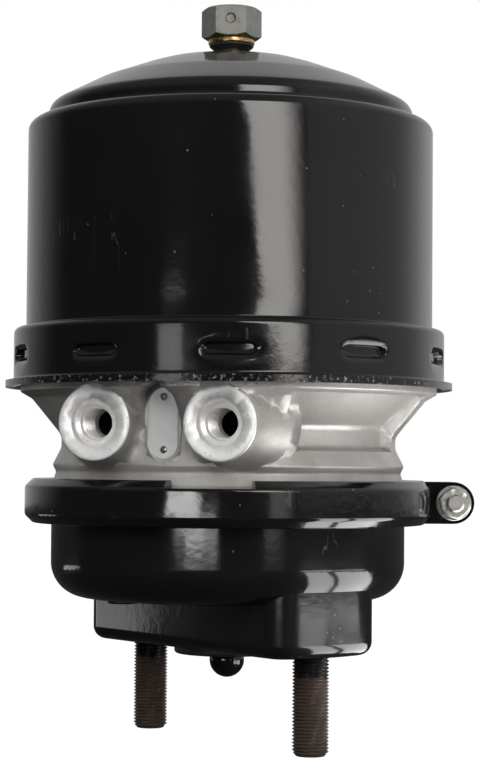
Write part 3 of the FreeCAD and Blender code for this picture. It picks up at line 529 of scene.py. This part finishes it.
def new_material(name):
    """(material, its tree, its Principled shader, its Object coordinates)."""
    material = bpy.data.materials.new(name)
    material.use_nodes = True
    tree = material.node_tree
    shader = tree.nodes["Principled BSDF"]
    place = put(tree, "ShaderNodeTexCoord").outputs["Object"]
    return material, tree, shader, place


def set_look(tree, shader, colour, roughness, metallic=None, height=None, depth=0.0001, strength=1.0):
    """Feeds the shader: each value is a number or a socket, and height becomes its normal."""
    feed(tree, shader, {"Base Color": colour, "Roughness": roughness, "Metallic": metallic})
    if height is not None:
        bump = put(tree, "ShaderNodeBump", {"Height": height, "Distance": depth, "Strength": strength})
        feed(tree, shader, {"Normal": bump.outputs[0]})


def black_paint():
    """Glossy black enamel: slight orange peel, dust, fine scratches and bare steel at worn edges."""
    material, tree, shader, place = new_material("black enamel")
    cold_black = (0.0026, 0.0027, 0.0030, 1)
    warm_black = (0.0050, 0.0048, 0.0046, 1)
    dusty = (0.11, 0.105, 0.10, 1)
    bare_steel = (0.20, 0.185, 0.17, 1)
    peel = noise(tree, place, 260.0, 2.0, 0.5)
    fine = noise(tree, place, 1500.0, 2.0, 0.5)
    cloud = noise(tree, place, 22.0, 4.0, 0.6)
    specks = use(tree, DUST, {"Place": place, "Scale": 260.0, "Size": 0.11, "Share": 0.05})["Mask"]
    nibs = use(tree, DUST, {"Place": place, "Scale": 170.0, "Size": 0.12, "Share": 0.16})["Mask"]
    lines = use(tree, SCRATCHES, {"Place": place, "Scale": 90.0, "Width": 0.004, "Share": 0.38})["Mask"]
    worn = use(tree, WEAR, {"Place": place, "Scale": 620.0, "Amount": 0.28})["Mask"]
    marks = calc(tree, "MAXIMUM", calc(tree, "MULTIPLY", specks, 0.6), calc(tree, "MULTIPLY", lines, 0.16))
    base = mix(tree, cloud, cold_black, warm_black)
    base = mix(tree, marks, base, dusty)
    base = mix(tree, worn, base, bare_steel)
    rough = span(tree, cloud, 0.3, 0.7, 0.075, 0.125)
    rough = calc(tree, "ADD", rough, calc(tree, "MULTIPLY", calc(tree, "MAXIMUM", marks, worn), 0.35))
    height = calc(tree, "ADD", peel, calc(tree, "MULTIPLY", fine, 0.12))
    height = calc(tree, "ADD", height, calc(tree, "MULTIPLY", nibs, 0.9))
    height = calc(tree, "SUBTRACT", height, calc(tree, "MULTIPLY", worn, 1.5))
    set_look(tree, shader, base, rough, calc(tree, "MULTIPLY", worn, 0.6), height, 0.00009, 0.30)
    return material


def cast_aluminium():
    """Sand-cast aluminium: mottled, grey-brown in its pits, with small bright specks painted in as glints.
    """
    material, tree, shader, place = new_material("cast aluminium")
    skin = use(tree, CAST, {"Place": place, "Scale": 1.0})
    tone = mix(tree, skin["Mottle"], (0.27, 0.258, 0.24, 1), (0.47, 0.46, 0.45, 1))
    tone = mix(tree, calc(tree, "MULTIPLY", skin["Pits"], 0.5), tone, (0.14, 0.125, 0.11, 1))
    # Painted glints: small specks whose base colour is made lighter to stand in for sparkle
    painted_glints = use(tree, DUST, {"Place": place, "Scale": 900.0, "Size": 0.22, "Share": 0.12})["Mask"]
    tone = mix(tree, calc(tree, "MULTIPLY", painted_glints, 0.7), tone, (0.60, 0.58, 0.54, 1))
    rough = span(tree, skin["Mottle"], 0.3, 0.7, 0.52, 0.38)
    set_look(tree, shader, tone, rough, 0.6, skin["Height"], 0.00016, 0.6)
    return material


def faced_aluminium():
    """The cast metal where a cutter has faced it: bright, with rings about each port.

    The place is turned until a port's axis points along X, shifted by the port's side and height,
    and its parts are put in the order that makes that axis the local Z.
    """
    material, tree, shader, place = new_material("faced aluminium")
    skin = use(tree, CAST, {"Place": place, "Scale": 1.0})
    turned = {"Vector": place, "Rotation": (0, 0, math.radians(-PORT_ANGLE))}
    port = put(tree, "ShaderNodeMapping", turned, vector_type="POINT").outputs[0]
    parts = put(tree, "ShaderNodeSeparateXYZ", {"Vector": port}).outputs
    side = calc(tree, "SUBTRACT", calc(tree, "ABSOLUTE", parts[1]), PORT_SIDE * MM)
    up = calc(tree, "SUBTRACT", parts[2], PORT_HEIGHT * MM)
    port = put(tree, "ShaderNodeCombineXYZ", {0: side, 1: up, 2: parts[0]}).outputs[0]
    rings = use(tree, TURNING, {"Place": port, "Pitch": 0.00055})["Height"]
    spots = use(tree, DUST, {"Place": place, "Scale": 500.0, "Size": 0.2, "Share": 0.25})["Mask"]
    cloud = noise(tree, place, 160.0, 4.0)
    tone = mix(tree, cloud, (0.74, 0.735, 0.73, 1), (0.88, 0.875, 0.87, 1))
    tone = mix(tree, spots, tone, (0.52, 0.51, 0.50, 1))
    rough = span(tree, skin["Mottle"], 0.3, 0.7, 0.28, 0.38)
    height = calc(tree, "ADD", rings, calc(tree, "MULTIPLY", skin["Height"], 0.5))
    set_look(tree, shader, tone, rough, 0.6, height, 0.00003, 0.4)
    return material


def satin_metal(name, dark, light, roughness, metallic=1.0, grain=700.0, depth=0.00003, stain=0.0,
                stain_colour=(0.1, 0.09, 0.08, 1)):
    """A plated or plain metal: two tones, fine grain in its roughness and height, and faint stains."""
    material, tree, shader, place = new_material(name)
    fine = noise(tree, place, grain, 4.0, 0.6)
    cloud = noise(tree, place, 90.0, 4.0, 0.6)
    tone = mix(tree, cloud, dark, light)
    spots = span(tree, noise(tree, place, 210.0, 5.0, 0.65), 0.56, 0.68)
    tone = mix(tree, calc(tree, "MULTIPLY", spots, stain), tone, stain_colour)
    lines = use(tree, SCRATCHES, {"Place": place, "Scale": 120.0, "Width": 0.01, "Share": 0.5})["Mask"]
    rough = span(tree, fine, 0.25, 0.75, roughness - 0.07, roughness + 0.08)
    rough = calc(tree, "ADD", rough, calc(tree, "MULTIPLY", lines, 0.12))
    height = calc(tree, "SUBTRACT", fine, calc(tree, "MULTIPLY", lines, 0.3))
    set_look(tree, shader, tone, rough, metallic, height, depth, 0.6)
    return material


def stud_steel():
    """Dark oiled steel, with black enamel smeared over the first turns below the housing."""
    material, tree, shader, place = new_material("oiled stud steel")
    enamel = (0.008, 0.008, 0.0085, 1)
    smear_bottom = -6.8 * MM
    smear_top = -5.2 * MM
    height = put(tree, "ShaderNodeSeparateXYZ", {"Vector": place}).outputs[2]
    wander = calc(tree, "MULTIPLY", noise(tree, place, 160.0, 4.0, 0.6), 6.0 * MM)
    painted = span(tree, calc(tree, "ADD", height, wander), smear_bottom, smear_top)
    fine = noise(tree, place, 1400.0, 4.0, 0.6)
    cloud = noise(tree, place, 130.0, 4.0)
    tone = mix(tree, cloud, (0.075, 0.055, 0.045, 1), (0.165, 0.130, 0.108, 1))
    tone = mix(tree, painted, tone, enamel)
    rough = span(tree, painted, 0.0, 1.0, 0.42, 0.2)
    metal = span(tree, painted, 0.0, 1.0, 0.75, 0.0)
    set_look(tree, shader, tone, rough, metal, fine, 0.00002, 0.5)
    return material


def rubber(name, tone, roughness):
    """Moulded rubber: matt, with a fine even grain and a pale bloom in patches."""
    material, tree, shader, place = new_material(name)
    fine = noise(tree, place, 1800.0, 3.0, 0.6)
    bloom = span(tree, noise(tree, place, 120.0, 5.0, 0.6), 0.45, 0.75, 0.0, 0.4)
    colour = mix(tree, bloom, grey(tone), grey(tone * 3.2))
    rough = span(tree, fine, 0.2, 0.8, roughness - 0.06, roughness + 0.06)
    set_look(tree, shader, colour, rough, 0.0, fine, 0.00003, 0.5)
    return material


PAINT = black_paint()
CASTING = cast_aluminium()
FACED = faced_aluminium()
PLATE = satin_metal("satin plate", grey(0.42), grey(0.60), 0.36, 0.55, 900.0)
ZINC = satin_metal("zinc plating", (0.30, 0.30, 0.285, 1), (0.50, 0.495, 0.475, 1), 0.34, 1.0, 800.0,
                   0.00003, 0.5, (0.17, 0.17, 0.13, 1))
BOLT_ZINC = satin_metal("hexagon zinc", (0.21, 0.213, 0.195, 1), (0.37, 0.37, 0.345, 1), 0.40, 0.95, 650.0,
                        0.00004, 0.7, (0.16, 0.165, 0.12, 1))
NECK = satin_metal("neck steel", (0.10, 0.095, 0.068, 1), (0.20, 0.19, 0.145, 1), 0.42, 0.9, 900.0,
                   0.00003, 0.6, (0.05, 0.045, 0.03, 1))
BRASS = satin_metal("brass", (0.42, 0.26, 0.10, 1), (0.72, 0.52, 0.22, 1), 0.30, 1.0, 600.0,
                    0.00003, 0.8, (0.32, 0.12, 0.06, 1))
STUD = stud_steel()
RUBBER = rubber("black rubber", 0.012, 0.5)
SPRING = satin_metal("coated spring steel", (0.020, 0.021, 0.023, 1), (0.045, 0.045, 0.047, 1), 0.38, 0.5,
                     500.0)
STEEL = satin_metal("plain steel", (0.30, 0.295, 0.285, 1), (0.48, 0.47, 0.455, 1), 0.32, 1.0, 900.0)
# Painted shade: a near-black finish for the drill hole deep in each port, where the metal is only in shade
PAINTED_BORE_SHADE = satin_metal("painted bore shade", grey(0.004), grey(0.010), 0.6, 0.0, 500.0)
BEARING = satin_metal("bearing plastic", (0.14, 0.13, 0.11, 1), (0.19, 0.175, 0.15, 1), 0.5, 0.0, 500.0)


# Spring housing

def skirt_angles():
    """Angles round the housing, close together across each slot and wide apart between them."""
    slots = SLOT_ANGLE + SLOT_PITCH * np.arange(SLOT_COUNT)
    close = np.linspace(-SLOT_SPREAD, SLOT_SPREAD, CLOSE_COLUMNS, endpoint=False)
    wide = np.linspace(SLOT_SPREAD, SLOT_PITCH - SLOT_SPREAD, WIDE_COLUMNS, endpoint=False)
    one = np.concatenate([close, wide])
    return np.radians((slots[:, None] + one[None]).reshape(-1))


def slot_bulge(angle, height, radius):
    """How far the slots push the skirt inwards.

    The distance outside a slot is |(max(|along| - half length, 0), up)| - half height. Within it lies
    a pocket that is deepest along its top, round it a dish, and round that a wide shallow hollow.
    """
    pitch = math.radians(SLOT_PITCH)
    along = np.mod(angle - math.radians(SLOT_ANGLE) + pitch / 2, pitch) - pitch / 2
    along = along * SKIRT_RADIUS
    up = height - SLOT_HEIGHT
    outside = np.hypot(np.maximum(np.abs(along) - SLOT_HALF_LENGTH, 0), up) - SLOT_HALF_HEIGHT
    on_wall = smooth((radius - SKIRT_RADIUS + 1.4) / 0.8)
    rim, shallow, extra = 0.7, 1.0, 1.7
    risen = np.clip((up + SLOT_HALF_HEIGHT) / (2 * SLOT_HALF_HEIGHT), 0, 1)
    pocket = smooth(-outside / rim + 0.5) * (shallow + extra * risen)
    dish_width, dish_depth = 2.6, 0.7
    dish = smooth(1 - (outside + 0.3) / dish_width) * dish_depth
    half_length, half_height, hollow_depth = 17.0, 8.0, 0.9
    hollow = smooth(1 - np.hypot(along / half_length, (up + 0.5) / half_height)) * hollow_depth
    return -(pocket + dish + hollow) * on_wall


def housing_corners():
    """The drawn cap's outside from the neck hole over the crown and down to its lip."""
    return np.array([
        (NECK_RADIUS, CROWN_TOP, 0),
        (31.0, CROWN_TOP, 150.0),
        (62.0, CROWN_TOP - 11.6, 20.0),
        (CROWN_STEP_RADIUS, CROWN_TOP - 22.8, 12.0),
        (CROWN_STEP_RADIUS, SHOULDER_TOP, 2.0),
        (BARREL_RADIUS, SHOULDER_TOP, 9.5),
        (BARREL_RADIUS, BARREL_BASE, 1.0),
        (SKIRT_RADIUS, BARREL_BASE, 5.0),
        (SKIRT_RADIUS, HOUSING_BASE + HOUSING_WALL, 1.5),
        (LIP_RADIUS, HOUSING_BASE + HOUSING_WALL, 0),
    ])


def housing_outside(corners):
    """The line through the corners, with close rows down the skirt where the slots are."""
    line = rounded(corners, 9.0, 7.0)
    height = line[:, 1]
    on_skirt = (line[:, 0] > SKIRT_RADIUS - 0.01) & (height > HOUSING_BASE + 5) & (height < BARREL_BASE)
    first = np.flatnonzero(on_skirt)[0]
    close = np.linspace(height[first], HOUSING_BASE + 4.7, SKIRT_ROWS)
    close = np.stack([np.full(SKIRT_ROWS, SKIRT_RADIUS), close], axis=1)
    return np.concatenate([line[:first], close, line[height < HOUSING_BASE + 4.6]])


def spring_housing():
    """Outside, lip and inside as one closed line turned about the axis, with the slots pressed in."""
    corners = housing_corners()
    edge_break = 0.4
    edge = [(LIP_RADIUS, HOUSING_BASE + HOUSING_WALL - edge_break), (LIP_RADIUS, HOUSING_BASE + edge_break)]
    inner = inset(corners, HOUSING_WALL)
    inner[0, 0] = corners[0, 0]
    inner[-1, 1] = HOUSING_BASE
    line = np.concatenate([housing_outside(corners), edge, rounded(inner, 30.0, 22.0)[::-1]])
    grid = lathe(line, skirt_angles(), slot_bulge)
    item = piece("spring_housing_shell", [grid], PAINT, "chamber", ("spring_housing",),
                 round_rows=True, smooth_angle=40)
    wear_edges(item.data, housing_wear)


def wear_edges(mesh, wear):
    """Stores how worn each point is, from 0 to 1: wear(radius, height) in millimetres."""
    points = np.empty(len(mesh.vertices) * 3, np.float32)
    mesh.vertices.foreach_get("co", points)
    points = points.reshape(-1, 3) / MM
    store(mesh, "edge", wear(np.hypot(points[:, 0], points[:, 1]), points[:, 2]))


def housing_wear(radius, height):
    """Chips on the lip's rim, and a few where the skirt and the crown step out."""
    chipped, worn, touched = 0.75, 0.62, 0.60
    rim = smooth((radius - LIP_RADIUS + 0.9) / 0.6) * chipped
    skirt = smooth(1 - np.abs(height - BARREL_BASE + 1.5) / 1.2) * (radius > BARREL_RADIUS) * touched
    crown = smooth(1 - np.hypot(radius - CROWN_STEP_RADIUS, height - CROWN_TOP + 24.0) / 2.5) * worn
    return np.maximum(rim, np.maximum(skirt, crown))


def vent_plug():
    """The small rubber plug that stands in the crown."""
    base = CROWN_TOP - 4.0
    top = high("vent_plug").z
    radius = 3.5
    angle = math.radians(VENT_ANGLE)
    middle = np.array([VENT_REACH * math.cos(angle), VENT_REACH * math.sin(angle), 0])
    corners = [(0, base, 0), (radius, base, 0), (radius, top, 1.4), (0, top, 0)]
    lathe_piece("vent_plug_moulded", corners, RUBBER, "chamber", ("vent_plug",), 32, 1.5,
                lambda grid: [grid + middle])


# Neck and release bolt

def neck():
    """The threaded neck through the crown, with its flange inside."""
    base = low("dome_bush").z
    top = high("dome_bush").z
    flange_top = base + 3.9
    flange_radius = 14.0
    corners = [(NECK_BORE, base, 0), (flange_radius, base, 0.8), (flange_radius, flange_top, 0),
               (NECK_RADIUS, flange_top, 0), (NECK_RADIUS, top, 0.5), (NECK_BORE, top, 0)]
    thread = thread_bulge(NECK_PITCH, 0.55, CROWN_TOP - 0.2, top, 0.5, inner=NECK_RADIUS - 0.3)
    lathe_piece("threaded_neck", corners, NECK, "chamber", ("dome_bush",), 64, 0.16,
                bulge=thread)


def bolt_trim():
    """The brass washer and the cone seal under the hexagon, and the bolt itself."""
    bore = 6.0
    washer = 10.7
    seal = 10.2
    foot = low("head_seal").z
    base = low("brass_washer").z
    top = high("brass_washer").z
    corners = [(bore, base, 0), (washer, base, 0.9), (washer, top, 0.9), (bore, top, 0)]
    lathe_piece("thrust_washer", corners, BRASS, "release_bolt", ("brass_washer",), 96, 1.0)
    corners = [(bore, foot, 0), (7.6, foot, 0.5), (9.2, base - 1.5, 3.0), (seal, base - 0.7, 0.7),
               (seal, base, 0), (bore, base, 0)]
    lathe_piece("cone_seal", corners, RUBBER, "release_bolt", ("head_seal",), 96, 1.0)
    smooth_copy("release_bolt", BOLT_ZINC, "release_bolt", 0.5)


# Studs

def studs():
    """Two fully threaded studs with rounded ends, and their plain heads inside the housing."""
    bottom = low("mounting_studs").z
    top = high("mounting_studs").z
    tip = 6.2
    head = 3.0
    corners = [(0, bottom, 0), (tip, bottom, 0.8), (STUD_RADIUS, bottom + 1.9, 0.8), (STUD_RADIUS, head, 0),
               (STUD_HEAD_RADIUS, head, 0), (STUD_HEAD_RADIUS, top, 1.0), (0, top, 0)]
    line = rounded(corners, 0.19, 20.0)
    threaded = line[:, 1] < head - 0.1
    rim = line[:, 1] > top - 1.5
    line = line[threaded | rim | (np.arange(len(line)) % 8 == 0)]
    thread = thread_bulge(STUD_PITCH, 0.92, bottom + 0.3, 0.6, 1.6, inner=6.0)
    grid = lathe(line, around(56), thread)
    grids = [grid + np.array([side * STUD_X, 0, 0]) for side in (-1, 1)]
    piece("threaded_studs", grids, STUD, "chamber", ("mounting_studs",), smooth_angle=55)


# Ports

def port_threads():
    """The thread in each port: a helical skin just inside the tapped hole, closed by its own back."""
    skin = 7.2
    back = 7.45
    rows = 112
    deep = PORT_THREAD_END + 0.05
    shallow = PORT_SEAT - 0.05
    front = np.stack([np.full(rows, skin), np.linspace(deep, shallow, rows)], axis=1)
    line = np.concatenate([front, [(back, shallow), (back, deep)]])
    thread = thread_bulge(PORT_PITCH, 0.75, PORT_THREAD_END, PORT_SEAT, 0.8, outer=skin + 0.1)
    piece("port_threads", at_ports(lathe(line, around(56), thread)), FACED, "chamber", (),
          round_rows=True, smooth_angle=50)


def port_mouths():
    """A hollow cone with a rounded foot that dishes each mouth from its edge in to the thread."""
    mouth = PORT_MOUTH_RADIUS - 0.02
    hole = 7.45
    edge = PORT_FACE - 0.1
    floor = PORT_SEAT + 0.1
    corners = [(mouth, edge, 0), (9.5, edge - 2.4, 2.5), (7.5, floor + 0.5, 0.6), (hole, floor, 0),
               (mouth, floor, 0)]
    lathe_piece("port_mouths", corners, FACED, "chamber", (), 72, 1.0, at_ports)


def casting():
    """The cast body. Its faces near a port's axis are machined bright, and those deep in the drill hole get
    a near-black finish as painted shade.

    out is a face's distance from the chamber's axis along the ports, and reach its distance from the
    nearer port's axis.
    """
    item = smooth_copy("flange_body", CASTING, "chamber", 0.0, 38)
    mesh = item.data
    mesh.materials.append(FACED)
    mesh.materials.append(PAINTED_BORE_SHADE)
    middle = np.empty(len(mesh.polygons) * 3)
    mesh.polygons.foreach_get("center", middle)
    middle = turned_about_z(middle.reshape(-1, 3) / MM, -PORT_ANGLE)
    out = middle[:, 0]
    reach = np.hypot(np.abs(middle[:, 1]) - PORT_SIDE, middle[:, 2] - PORT_HEIGHT)
    spot_face = (out > PORT_FACE - 0.7) & (reach < SPOT_FACE_REACH)
    mouth = (out > PORT_DEEPEST) & (reach < PORT_MOUTH_RADIUS + 0.3)
    # The drill hole's faces take the third slot, the near-black painted shade
    bore_shade_faces = (out > DRILL_DEEPEST) & (out < PORT_THREAD_END - 0.1) & (reach < DRILL_REACH)
    choice = np.where(bore_shade_faces, 2, spot_face | mouth)
    mesh.polygons.foreach_set("material_index", choice.astype(np.int32))
    mesh.update()


# Springs, boot and diaphragm

STEPS_PER_TURN = 56
WIRE_COLUMNS = 14


def coil_spring(name, node, wire, base_radius, top_radius, turns, body):
    """A round wire on a cone, its centre at (r cos a, r sin a, z).

    The height rises from one seat to the other, a little slower near both, and the end turns are
    ground flat by holding their points between the seats.
    """
    bottom = low(node).z
    top = high(node).z
    count = int(turns * STEPS_PER_TURN)
    along = np.linspace(0, 1, count)
    angle = along * turns * TURN
    lift = smooth((along * turns - 0.1) / (turns - 0.2)) * 0.25 + along * 0.75
    radius = base_radius + (top_radius - base_radius) * along
    height = bottom + wire + (top - bottom - 2 * wire) * lift
    centres = np.stack([radius * np.cos(angle), radius * np.sin(angle), height], axis=1)
    grid = sweep(centres, np.tile([0.0, 0.0, 1.0], (count, 1)), wire, WIRE_COLUMNS)
    grid[..., 2] = np.clip(grid[..., 2], bottom, top)
    item = piece(name, [grid], SPRING, None, (node,), capped=True, smooth_angle=50)
    still, moving = (0, 0, bottom * MM), (0, 0, top * MM)
    if body == "spring_piston":
        still, moving = moving, still
    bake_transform(item)


def boot():
    """The folded boot: its line swings between waist and crest as a cosine of the height."""
    base = low("bellows").z
    top = high("bellows").z
    cuff = top - 6.0
    collar_radius = 11.3
    rod_radius = 9.35
    folds = 8
    height = np.linspace(base, cuff, folds * 14 + 1)
    wave = (1 - np.cos((height - base) / (cuff - base) * folds * TURN)) / 2
    outside = np.stack([15.0 + 3.7 * wave, height], axis=1)
    inside = np.stack([13.5 + 3.2 * wave, height], axis=1)
    collar = [(collar_radius, cuff + 1.5), (collar_radius, top), (rod_radius, top), (rod_radius, cuff + 1.0)]
    line = np.concatenate([outside, collar, inside[::-1]])
    item = piece("folded_boot", [lathe(line, around(56))], RUBBER, None, ("bellows",),
                 round_rows=True, smooth_angle=70)
    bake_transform(item)


def diaphragm():
    """The rubber diaphragm, a smooth copy of its node."""
    item = smooth_copy("diaphragm", RUBBER, None)
    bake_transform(item)


# Clamp

def clamp():
    """The clamp ring with its nut, bolt and washers."""
    smooth_copy("clamp_ring", PAINT, "chamber", 0.7, 38)
    for node, bevel in (("clamp_nut", 0.35), ("clamp_bolt", 0.3), ("clamp_washers", 0.25)):
        smooth_copy(node, ZINC, "chamber", bevel)


# Studio, in metres and degrees

CAMERA_AZIMUTH = 52.9
CAMERA_DISTANCE = 0.968
CAMERA_HEIGHT = 0.083
CAMERA_PITCH = 2.29
CAMERA_YAW = 0.3
CAMERA_ROLL = 0.43
CAMERA_LENS = 100.2
LAMP_BALL_RADIUS = 2.0
LAMP_BALL_HEIGHT = 0.12
LAMP_COLUMNS = 13
STUD_FEET = low("mounting_studs").z * MM
FLOOR_DROP = 0.034
WARM = (1.0, 0.965, 0.93)
PALE_WARM = (1.0, 0.965, 0.95)
PALE_PINK = (1, 0.98, 0.98)


def seen_axes():
    """(towards the camera, to its right), both level."""
    angle = math.radians(CAMERA_AZIMUTH)
    return Vector((math.sin(angle), -math.cos(angle), 0)), Vector((math.cos(angle), math.sin(angle), 0))


def camera():
    """The photo's camera: level with the clamp, and turned by a small pitch, yaw and roll."""
    towards, right = seen_axes()
    pitch, yaw, roll = (math.radians(value) for value in (CAMERA_PITCH, CAMERA_YAW, CAMERA_ROLL))
    level = -towards * math.cos(yaw) + right * math.sin(yaw)
    forward = level * math.cos(pitch) + Vector((0, 0, math.sin(pitch)))
    side = forward.cross(Vector((0, 0, 1))).normalized()
    up = side.cross(forward)
    tilted = side * math.cos(roll) + up * math.sin(roll)
    upright = tilted.cross(forward)
    turned = Matrix((tilted, upright, -forward)).transposed().to_4x4()
    made = new_object("camera", bpy.data.cameras.new("camera"))
    made.data.lens = CAMERA_LENS
    place = towards * CAMERA_DISTANCE + Vector((0, 0, CAMERA_HEIGHT))
    made.matrix_world = Matrix.Translation(place) @ turned
    bpy.context.scene.camera = made


def glow_material(name, strength, colour):
    """Light from a panel, times the panel's own fade, that the camera sees straight through."""
    material = bpy.data.materials.new(name)
    material.use_nodes = True
    tree = material.node_tree
    tree.nodes.clear()
    fade = put(tree, "ShaderNodeAttribute", attribute_name="fade").outputs["Fac"]
    level = calc(tree, "MULTIPLY", fade, strength)
    lit = put(tree, "ShaderNodeEmission", {"Color": (*colour, 1), "Strength": level})
    clear = put(tree, "ShaderNodeBsdfTransparent")
    seen = put(tree, "ShaderNodeLightPath").outputs["Is Camera Ray"]
    both = put(tree, "ShaderNodeMixShader", {0: seen, 1: lit.outputs[0], 2: clear.outputs[0]})
    put(tree, "ShaderNodeOutputMaterial", {"Surface": both.outputs[0]})
    return material


def staged(name, points, faces, material, fade=None):
    """A piece of the studio, in metres, that isn't part of the object."""
    mesh = bpy.data.meshes.new(name)
    mesh.from_pydata(points, [], faces)
    if fade is not None:
        store(mesh, "fade", fade)
    mesh.materials.append(material)
    new_object(name, mesh)


def level_sheet(name, corners, height, material, fade=None):
    """One flat face of the studio at a height."""
    points = [(x, y, height) for x, y in corners]
    staged(name, points, [tuple(range(len(points)))], material, fade)


def glow_panel(name, rows, strength, colour=(1, 1, 1), soft=0.0):
    """A shaped lamp on a ball round the object.

    Each row is (elevation, azimuth from, azimuth to) in degrees, azimuth to the right of the camera,
    and soft is the share of each row's width, at its end, over which the light fades out.
    """
    rows = np.array(rows, float)
    share = np.linspace(0, 1, LAMP_COLUMNS)
    azimuth = np.radians(rows[:, 1:2] + (rows[:, 2:3] - rows[:, 1:2]) * share[None])
    rise = np.radians(np.repeat(rows[:, :1], LAMP_COLUMNS, axis=1))
    turn = azimuth + math.radians(CAMERA_AZIMUTH - 90)
    points = np.stack([np.cos(rise) * np.cos(turn), np.cos(rise) * np.sin(turn), np.sin(rise)], axis=-1)
    points = LAMP_BALL_RADIUS * points
    points[..., 2] += LAMP_BALL_HEIGHT
    index = np.arange(len(rows) * LAMP_COLUMNS).reshape(-1, LAMP_COLUMNS)
    faces = np.stack([index[:-1, :-1], index[:-1, 1:], index[1:, 1:], index[1:, :-1]], axis=-1)
    fade = 1 - smooth((share - 1 + soft) / soft) if soft else np.ones(LAMP_COLUMNS)
    staged(name, points.reshape(-1, 3).tolist(), faces.reshape(-1, 4).tolist(),
           glow_material(name, strength, colour), np.tile(fade, len(rows)))


def low_lamp(name, start, end, near, far, strength):
    """A level lamp at the studs' feet: a sector from an azimuth and a distance to another."""
    turn = np.radians(np.linspace(start, end, 9) + CAMERA_AZIMUTH - 90)
    line = np.stack([np.cos(turn), np.sin(turn)], axis=1)
    corners = np.concatenate([line * far, line[::-1] * near])
    level_sheet(name, corners.tolist(), STUD_FEET, glow_material(name, strength, PALE_PINK),
                np.ones(len(corners)))


def surround():
    """A dark room with a pale backdrop behind the object, a grey right side and a pale ceiling."""
    world = bpy.data.worlds.new("studio")
    bpy.context.scene.world = world
    world.use_nodes = True
    tree = world.node_tree
    towards, right = seen_axes()
    way = put(tree, "ShaderNodeTexCoord").outputs["Generated"]
    front, side = (put(tree, "ShaderNodeVectorMath", {0: way, 1: axis}, operation="DOT_PRODUCT")
                   .outputs["Value"] for axis in (towards, right))
    up = put(tree, "ShaderNodeSeparateXYZ", {"Vector": way}).outputs[2]
    level = span(tree, side, 0.2, 0.85, 0.03, 0.50)
    level = calc(tree, "ADD", level, span(tree, front, -0.2, -0.85, 0.0, 0.50))
    level = calc(tree, "ADD", level, span(tree, up, 0.12, 0.75, 0.0, 0.20))
    level = calc(tree, "MAXIMUM", level, put(tree, "ShaderNodeLightPath").outputs["Is Camera Ray"])
    tone = put(tree, "ShaderNodeCombineColor", {0: level, 1: level, 2: level}).outputs[0]
    feed(tree, tree.nodes["Background"], {"Color": tone})


def floor():
    """A floor below the pushrod's longest stroke, white to the camera and dark to everything else."""
    material, tree, shader, _ = new_material("floor")
    set_look(tree, shader, grey(0.02), 0.9)
    seen = put(tree, "ShaderNodeLightPath").outputs["Is Camera Ray"]
    glow = span(tree, seen, 0, 1, 0.006, 1.0)
    feed(tree, shader, {"Emission Color": grey(1), "Emission Strength": glow})
    level_sheet("floor", [(-6, -6), (6, -6), (6, 6), (-6, 6)], STUD_FEET - FLOOR_DROP, material)


def fill_light():
    """Soft light from the front left that shows on matt surfaces and makes no highlight of its own."""
    towards, right = seen_axes()
    place = towards * 1.5 - right * 0.7 + Vector((0, 0, 1.0))
    aim = (Vector((0, 0, 0.1)) - place).to_track_quat("-Z", "Y")
    made = new_object("fill", bpy.data.lights.new("fill", "AREA"))
    made.data.shape = "DISK"
    made.data.size = 1.4
    made.data.energy = 32.0
    made.matrix_world = Matrix.Translation(place) @ aim.to_matrix().to_4x4()
    made.visible_glossy = False
    made.visible_camera = False


def studio():
    """The room, the floor and the lamps, each shaped by the highlight that it makes on the paint."""
    surround()
    floor()
    glow_panel("key", [(26, 6, 40), (18, 5, 41), (15.5, 6.5, 41), (13, 9.5, 41), (10, 11.5, 41.5),
                       (6.2, 16, 43), (4, 21, 43), (2.4, 28, 41)], 7.0, WARM, 0.5)
    glow_panel("key tail", [(2.4, 22, 40), (-1, 22, 38), (-4.4, 23, 37)], 1.5, PALE_WARM, 0.6)
    glow_panel("left, for the skirt", [(4.9, -33, -27), (4.4, -36, -23.5), (2.0, -36, -23.5)], 3.2)
    glow_panel("left, for the clamp", [(0.2, -33, -17), (-3.3, -33, -14)], 12.0)
    glow_panel("left, for the bowl", [(-3.4, -27, -6), (-4.6, -26, -7)], 10.0)
    low_lamp("near right 46", 46, 63, 0.09, 0.55, 6.5)
    low_lamp("near right 67", 67, 96, 0.09, 0.55, 6.5)
    low_lamp("middle right", 46, 66, 0.66, 0.79, 5.0)
    low_lamp("far right", 46, 95, 0.79, 1.02, 6.0)
    low_lamp("far left", -126, -107.3, 0.5, 1.2, 1.8)
    fill_light()


def carried_over():
    """Inner and small nodes keep their solids and get their finish."""
    finish = {
        RUBBER: ("boot_seal", "housing_seal_ring", "piston_seal", "tube_seal", "tube_wiper", "drain_plugs"),
        BEARING: ("piston_guide_ring", "tube_bush"),
        STEEL: ("spring_seat", "piston_tube", "release_nut", "tube_end_cap", "bolt_end_clip",
                "pressure_plate", "spring_guide", "boot_clip"),
        CASTING: ("spring_piston",),
        PLATE: ("data_plate",),
        ZINC: ("plate_rivets",),
    }
    for material, nodes in finish.items():
        for node in nodes:
            coat(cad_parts[node].data, material)


spring_housing()
vent_plug()
neck()
bolt_trim()
studs()
port_threads()
port_mouths()
casting()
clamp()
smooth_copy("service_housing", PAINT, "chamber", 0.6, 30)
smooth_copy("pushrod", PAINT, "pushrod", 0.4)
coil_spring("power_spring_wire", "power_spring", 6.25, 71.5, 58.0, 4.0, "spring_piston")
coil_spring("return_spring_wire", "return_spring", 2.1, 23.2, 22.6, 5.0, "pushrod")
boot()
diaphragm()
carried_over()
camera()
studio()
bpy.context.scene.view_settings.view_transform = "Standard"
